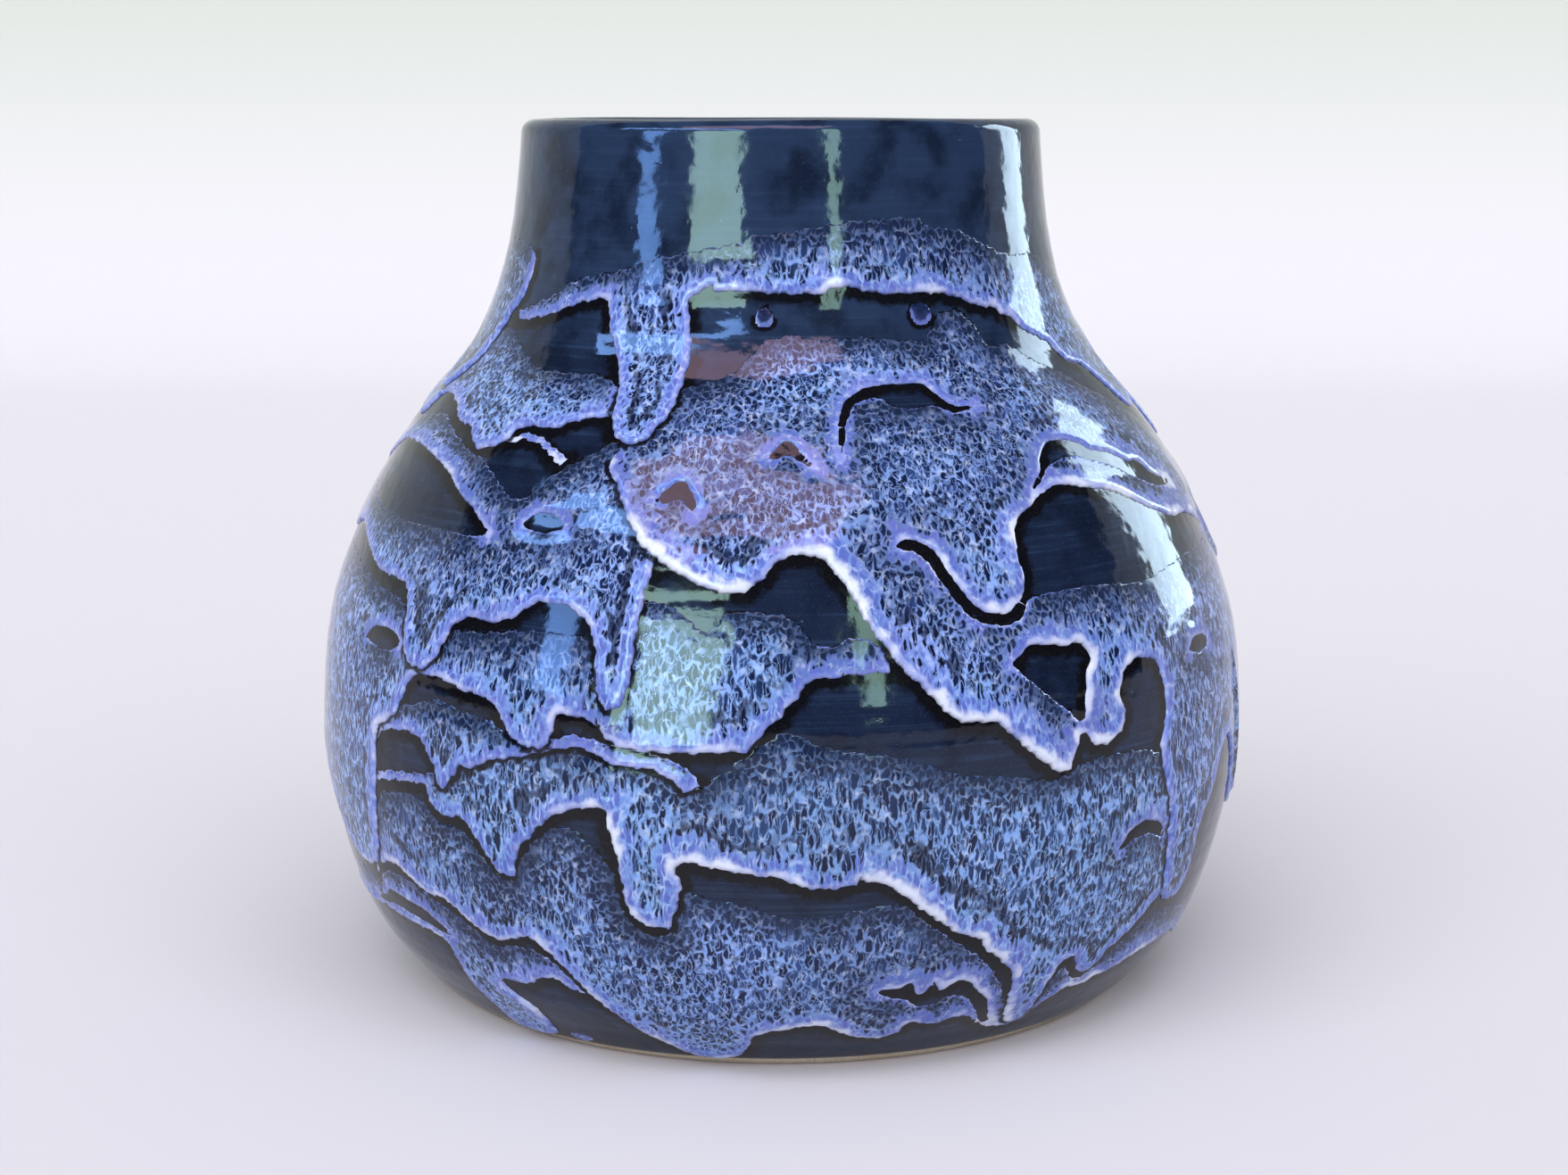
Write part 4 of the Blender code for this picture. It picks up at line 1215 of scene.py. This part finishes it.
    def beaded(self, colour):
        """A colour with the white bead at the hard edge, hollow where the bead is weakest."""
        glaze = self.glaze
        white = self.blend(self.rise(self.pale, 0.2, 0.75), glaze.bead_violet, glaze.bead)
        white = self.blend(self.rise(self.bright, 0.4, 0.7, 0.0, 0.35), white, glaze.bead_cream)
        wander = self.rise(self.noise(self.flow, 2.2, 2.0), 0.3, 0.7, -0.45, 0.45)
        rim = self.math("ADD", self.math("DIVIDE", self.hard, self.width), wander)
        shown = self.math("MULTIPLY", self.rise(rim, 0.7, 2.2, 0.95, 0.0),
                          self.rise(self.pale, 0.05, 0.45, 0.2, 1.0))
        colour = self.blend(shown, colour, white)
        hollow = self.math("MULTIPLY", self.rise(self.pale, 0.06, 0.10, 1.0, 0.0),
                           self.rise(self.hard, 0.5, 1.0, 0.2, 0.9))
        return self.blend(hollow, colour, glaze.net_ground)


def pale_material():
    """The poured glaze: dim lace under the soft top, streaks, then a solid beaded edge."""
    glaze = settings("vase_glaze")
    sh = PouredGlaze("pale_glaze", glaze)
    line = sh.lines()
    top = sh.rise(sh.soft, 0.0, 4.5, 0.25, 1.0)
    lacy = sh.blend(sh.math("MULTIPLY", sh.net, top), sh.ground(), line)
    near = sh.math("MULTIPLY", sh.rise(sh.edge, 2.5, 6.0, 1.0, 0.0), sh.net)
    colour = sh.beaded(sh.blend(near, lacy, sh.solid(line)))
    # Painted shade on this run below the hard edge of a run above it.
    colour = painted_edge_shade(sh, colour, sh.flow, EDGE_SHADE_ON_RUN, glaze)
    sh.put(sh.main.inputs["Base Color"], colour)
    gloss(sh, sh.flow, glaze, ripple=0.015)
    return sh.material


def clay_material():
    """Bare fired stoneware: pale buff, fine grained, with iron specks."""
    glaze = settings("vase_glaze")
    sh = Shader("stoneware_clay")
    flow = sh.stored("flow")
    toasted, iron = (0.62, 0.46, 0.30), (0.10, 0.06, 0.035)
    grain = sh.noise(flow, 0.5, 4.0, 0.7)
    colour = sh.blend(sh.rise(grain, 0.35, 0.7), glaze.clay, scaled(glaze.clay, 0.72))
    clouds = sh.noise(flow, 12.0, 2.0)
    colour = sh.blend(sh.rise(clouds, 0.4, 0.7, 0.0, 0.5), colour, toasted)
    specks = sh.noise(flow, 0.6, 1.0)
    colour = sh.blend(sh.rise(specks, 0.70, 0.76, 0.0, 0.7), colour, iron)
    sh.put(sh.main.inputs["Base Color"], colour)
    sh.put(sh.main.inputs["Roughness"], sh.rise(grain, 0.3, 0.7, 0.75, 0.95))
    sh.put(sh.main.inputs["Normal"], sh.bump(grain, 0.06))
    return sh.material


def stage_material():
    """The pale paper sweep: faintly lavender on the floor and cooler up the back."""
    stage = settings("vase_stage")
    sh = Shader("paper_sweep")
    place = sh.node("NewGeometry").outputs["Position"]
    height = sh.node("SeparateXYZ", {0: place}).outputs["Z"]
    colour = sh.blend(sh.rise(height, 0.0, 0.25), stage.floor_colour, stage.back_colour)
    sh.put(sh.main.inputs["Base Color"], colour)
    sh.main.inputs["Roughness"].default_value = 0.9
    sh.main.inputs["Specular IOR Level"].default_value = 0.0
    return sh.material


# ---------------------------------------------------------------- stage

# Each light's azimuth and elevation in degrees, its size in metres if it is a window, its
# strength and its colour.
SOFT_LIGHTS = {
    "soft_left": (-32, 42, 1.9, (1.0, 1.0, 0.99)),
    "soft_right": (28, 45, 1.2, (1.0, 0.99, 1.0)),
}
SHEENS = {
    "window_left": (-27, 16, (0.56, 0.82), 13.0, (0.62, 1.0, 0.94)),
    "strip_right": (22, 20, (0.14, 0.75), 10.0, (0.60, 1.0, 0.88)),
    "sky_left": (-57, 18, (0.22, 0.52), 18.0, (0.20, 0.42, 1.0)),
    "sky_band": (-50, 43, (1.45, 0.17), 22.0, (0.22, 0.44, 1.0)),
    "ceiling": (-14, 58, (1.3, 0.5), 5.0, (1.0, 0.66, 0.86)),
    "side_right": (119, 18, (0.42, 0.9), 11.0, (0.62, 0.82, 1.0)),
}
SOFT_SPREAD = math.radians(55)
SOFT_DISTANCE = 3.0
SHEEN_DISTANCE = 1.5
AIM_HEIGHT = 0.075
SENSOR_WIDTH = 36.0
CAMERA_ASIDE = 0.00056


def build_sweep(material):
    """A floor that curves up into a back wall."""
    front, back, top, bend, half_width, floor = -9.0, 0.85, 2.4, 0.45, 9.0, -0.00015
    arc = [(back + bend * math.sin(a), bend - bend * math.cos(a))
           for a in np.linspace(0, math.pi / 2, 24)]
    profile = [(front, 0.0), (0.0, 0.0), *arc, (back + bend, top)]
    mesh = bpy.data.meshes.new("paper_sweep")
    verts = [(x, y, z + floor) for y, z in profile for x in (-half_width, half_width)]
    faces = [(2 * i, 2 * i + 1, 2 * i + 3, 2 * i + 2) for i in range(len(profile) - 1)]
    mesh.from_pydata(verts, [], faces)
    mesh.materials.append(material)
    mesh.shade_smooth()
    sweep = bpy.data.objects.new("paper_sweep", mesh)
    bpy.context.scene.collection.objects.link(sweep)


def toward(azimuth, elevation):
    """The direction from the vase to a light at an azimuth and elevation."""
    turn, rise = math.radians(azimuth), math.radians(elevation)
    return Vector((math.sin(turn) * math.cos(rise), -math.cos(turn) * math.cos(rise), math.sin(rise)))


def place_light(light, way, distance):
    """Link a light, aimed at the vase."""
    lamp = bpy.data.objects.new(light.name, light)
    lamp.location = Vector((0.0, 0.0, AIM_HEIGHT)) + way * distance
    lamp.rotation_euler = way.to_track_quat("Z", "Y").to_euler()
    bpy.context.scene.collection.objects.link(lamp)
    return lamp


def soft_light(name, azimuth, elevation, strength, colour):
    """A broad soft light on the vase and the sweep that doesn't show in the glaze."""
    light = bpy.data.lights.new(name, "SUN")
    light.angle = SOFT_SPREAD
    light.energy = strength
    light.color = colour
    place_light(light, toward(azimuth, elevation), SOFT_DISTANCE).visible_glossy = False


def sheen(name, azimuth, elevation, size, radiance, colour):
    """A bright window that only shows as a sheen in the glaze."""
    light = bpy.data.lights.new(name, "AREA")
    light.shape = "RECTANGLE"
    light.size, light.size_y = size
    light.energy = radiance * math.pi * size[0] * size[1]
    light.color = colour
    place_light(light, toward(azimuth, elevation), SHEEN_DISTANCE).visible_diffuse = False


def build_lights():
    """Soft studio light, with windows and a ceiling that show in the glaze."""
    stage = settings("vase_stage")
    for name, (azimuth, elevation, strength, colour) in SOFT_LIGHTS.items():
        soft_light(name, azimuth, elevation, strength * stage.light_strength, colour)
    for name, (azimuth, elevation, size, radiance, colour) in SHEENS.items():
        sheen(name, azimuth, elevation, size, radiance * stage.sheen_strength, colour)
    world = bpy.data.worlds.new("studio")
    world.use_nodes = True
    sky = world.node_tree.nodes["Background"]
    sky.inputs["Color"].default_value = (0.95, 0.97, 1.0, 1.0)
    sky.inputs["Strength"].default_value = stage.room_light
    world.cycles_visibility.glossy = False
    bpy.context.scene.world = world


def build_camera():
    """The camera, level with the rim and tipped down a little."""
    stage = settings("vase_stage")
    lens = bpy.data.cameras.new("camera")
    lens.sensor_width = SENSOR_WIDTH
    lens.lens = stage.lens
    camera = bpy.data.objects.new("camera", lens)
    camera.location = (CAMERA_ASIDE, -stage.camera_distance, stage.camera_height)
    camera.rotation_euler = (math.pi / 2 - stage.camera_tilt, 0.0, 0.0)
    bpy.context.scene.collection.objects.link(camera)
    bpy.context.scene.camera = camera


# ---------------------------------------------------------------- add-on

def colour_property(name, description, default):
    """A colour that a user may change."""
    return bpy.props.FloatVectorProperty(
        name=name, description=description, default=default, subtype="COLOR", min=0.0, max=1.0)


def length_property(name, description, default):
    """A length in metres that a user may change."""
    return bpy.props.FloatProperty(
        name=name, description=description, default=default, unit="LENGTH", precision=5)


class VASE_PG_glaze(bpy.types.PropertyGroup):
    """Sizes and colours of the glazes and the clay."""

    bead_height: length_property("Bead height", "Height of the bead at a hard edge", 0.00045)
    run_thickness: length_property("Run thickness", "Thickness of a run's body", 0.00022)
    lace_cell: length_property("Lace cell", "Width of a cell of the lace", 0.00094)
    streak_length: length_property("Streak length", "Length of a cell among the streaks", 0.0033)
    gloss_roughness: bpy.props.FloatProperty(
        name="Roughness", description="Roughness of the fired glaze", default=0.06, min=0.0, max=1.0)
    navy: colour_property("Navy", "The base glaze", (0.0080, 0.0140, 0.036))
    navy_light: colour_property("Light navy", "The base glaze on the neck", (0.023, 0.046, 0.105))
    # The colour of the painted shade below a bead.
    edge_shade_colour: colour_property("Dark edge", "Base glaze gathered below a bead", (0.0035, 0.0035, 0.005))
    net_ground: colour_property("Net ground", "Dark cells of the lace", (0.0065, 0.012, 0.045))
    net_violet: colour_property("Violet cells", "Filled cells, violet cast", (0.030, 0.049, 0.175))
    net_blue: colour_property("Blue cells", "Filled cells, blue cast", (0.022, 0.062, 0.165))
    trough: colour_property("Trough", "Dark band above a hard edge", (0.0055, 0.008, 0.026))
    violet: colour_property("Violet lines", "Lace lines, violet cast", (0.23, 0.325, 0.77))
    blue: colour_property("Blue lines", "Lace lines, blue cast", (0.175, 0.335, 0.66))
    solid: colour_property("Solid blue", "The solid glaze above a bead", (0.080, 0.120, 0.42))
    solid_violet: colour_property("Solid violet", "Its violet parts", (0.110, 0.130, 0.43))
    bead: colour_property("Bead", "The white bead at a hard edge", (0.60, 0.65, 0.80))
    bead_violet: colour_property("Violet bead", "A weak bead", (0.18, 0.235, 0.62))
    bead_cream: colour_property("Cream bead", "The bead's creamiest parts", (0.70, 0.70, 0.74))
    clay: colour_property("Clay", "Bare fired stoneware", (0.78, 0.68, 0.52))


class VASE_PG_stage(bpy.types.PropertyGroup):
    """The stage's light and camera."""

    light_strength: bpy.props.FloatProperty(
        name="Light", description="Strength of all soft lights", default=1.0, min=0.0)
    room_light: bpy.props.FloatProperty(
        name="Room light", description="Strength of the light from all round", default=0.68, min=0.0)
    sheen_strength: bpy.props.FloatProperty(
        name="Sheen light", description="Strength of the windows seen in the glaze", default=1.05, min=0.0)
    floor_colour: colour_property("Floor", "The floor's colour", (0.62, 0.60, 0.655))
    back_colour: colour_property("Back", "The back wall's colour", (0.486, 0.513, 0.480))
    lens: bpy.props.FloatProperty(
        name="Lens", description="Focal length", default=58.27, unit="CAMERA")
    camera_distance: length_property("Camera distance", "Distance in front of the axis", 0.42137)
    camera_height: length_property("Camera height", "Height above the floor", 0.14126)
    camera_tilt: bpy.props.FloatProperty(
        name="Tilt", description="How far the camera looks down", default=math.radians(10.678),
        subtype="ANGLE")


class VASE_OT_stoneware(bpy.types.Operator):
    """Build the thrown stoneware body with its trimmed foot"""

    bl_idname = "vase.stoneware"
    bl_label = "Stoneware body"

    def execute(self, context):
        build_clay(clay_material())
        return {"FINISHED"}


class VASE_OT_liner(bpy.types.Operator):
    """Build the glaze of the inside"""

    bl_idname = "vase.liner"
    bl_label = "Inner glaze"

    def execute(self, context):
        build_liner(navy_material("inner_navy_glaze", reach=0.0))
        return {"FINISHED"}


class VASE_OT_coat(bpy.types.Operator):
    """Build the navy coat of the outside and the lip"""

    bl_idname = "vase.coat"
    bl_label = "Navy coat"

    def execute(self, context):
        build_coat(navy_material("navy_glaze", EDGE_SHADE_ON_COAT))
        return {"FINISHED"}


class VASE_OT_runs(bpy.types.Operator):
    """Build the poured runs, from the lowest to the uppermost"""

    bl_idname = "vase.runs"
    bl_label = "Poured runs"

    def execute(self, context):
        pale = pale_material()
        for run in glazing().runs:
            front = run.name.removesuffix("_far")
            nodes = BACK_NODES.get(front, ()) if run.name != front else RUNS[front]["nodes"]
            build_run(run, pale, nodes)
        return {"FINISHED"}


class VASE_OT_stage(bpy.types.Operator):
    """Build the paper sweep, the soft lights and the camera"""

    bl_idname = "vase.stage"
    bl_label = "Stage"

    def execute(self, context):
        build_sweep(stage_material())
        build_lights()
        build_camera()
        context.scene.view_settings.view_transform = "Standard"
        return {"FINISHED"}


class VASE_PT_panel(bpy.types.Panel):
    """The vase's settings and the steps that build it"""

    bl_idname = "VASE_PT_panel"
    bl_label = "Poured Glaze Vase"
    bl_space_type = "VIEW_3D"
    bl_region_type = "UI"
    bl_category = "Vase"

    def draw(self, context):
        layout = self.layout
        for group in GROUPS:
            box = layout.box()
            for name in GROUPS[group].__annotations__:
                box.prop(getattr(context.scene, group), name)
        for operator in OPERATORS:
            layout.operator(operator.bl_idname)


GROUPS = {"vase_glaze": VASE_PG_glaze, "vase_stage": VASE_PG_stage}
OPERATORS = (VASE_OT_stoneware, VASE_OT_liner, VASE_OT_coat, VASE_OT_runs, VASE_OT_stage)


def register():
    """Register the classes and hang the settings on the scene."""
    for cls in (*GROUPS.values(), *OPERATORS, VASE_PT_panel):
        bpy.utils.register_class(cls)
    for name, cls in GROUPS.items():
        setattr(bpy.types.Scene, name, bpy.props.PointerProperty(type=cls))


def unregister():
    """Take back what register did."""
    for name in GROUPS:
        delattr(bpy.types.Scene, name)
    for cls in (VASE_PT_panel, *reversed(OPERATORS), *GROUPS.values()):
        bpy.utils.unregister_class(cls)


def main():
    """Build the vase and its stage."""
    register()
    bpy.ops.vase.stoneware()
    bpy.ops.vase.liner()
    bpy.ops.vase.coat()
    bpy.ops.vase.runs()
    bpy.ops.vase.stage()


if __name__ == "__main__":
    main()
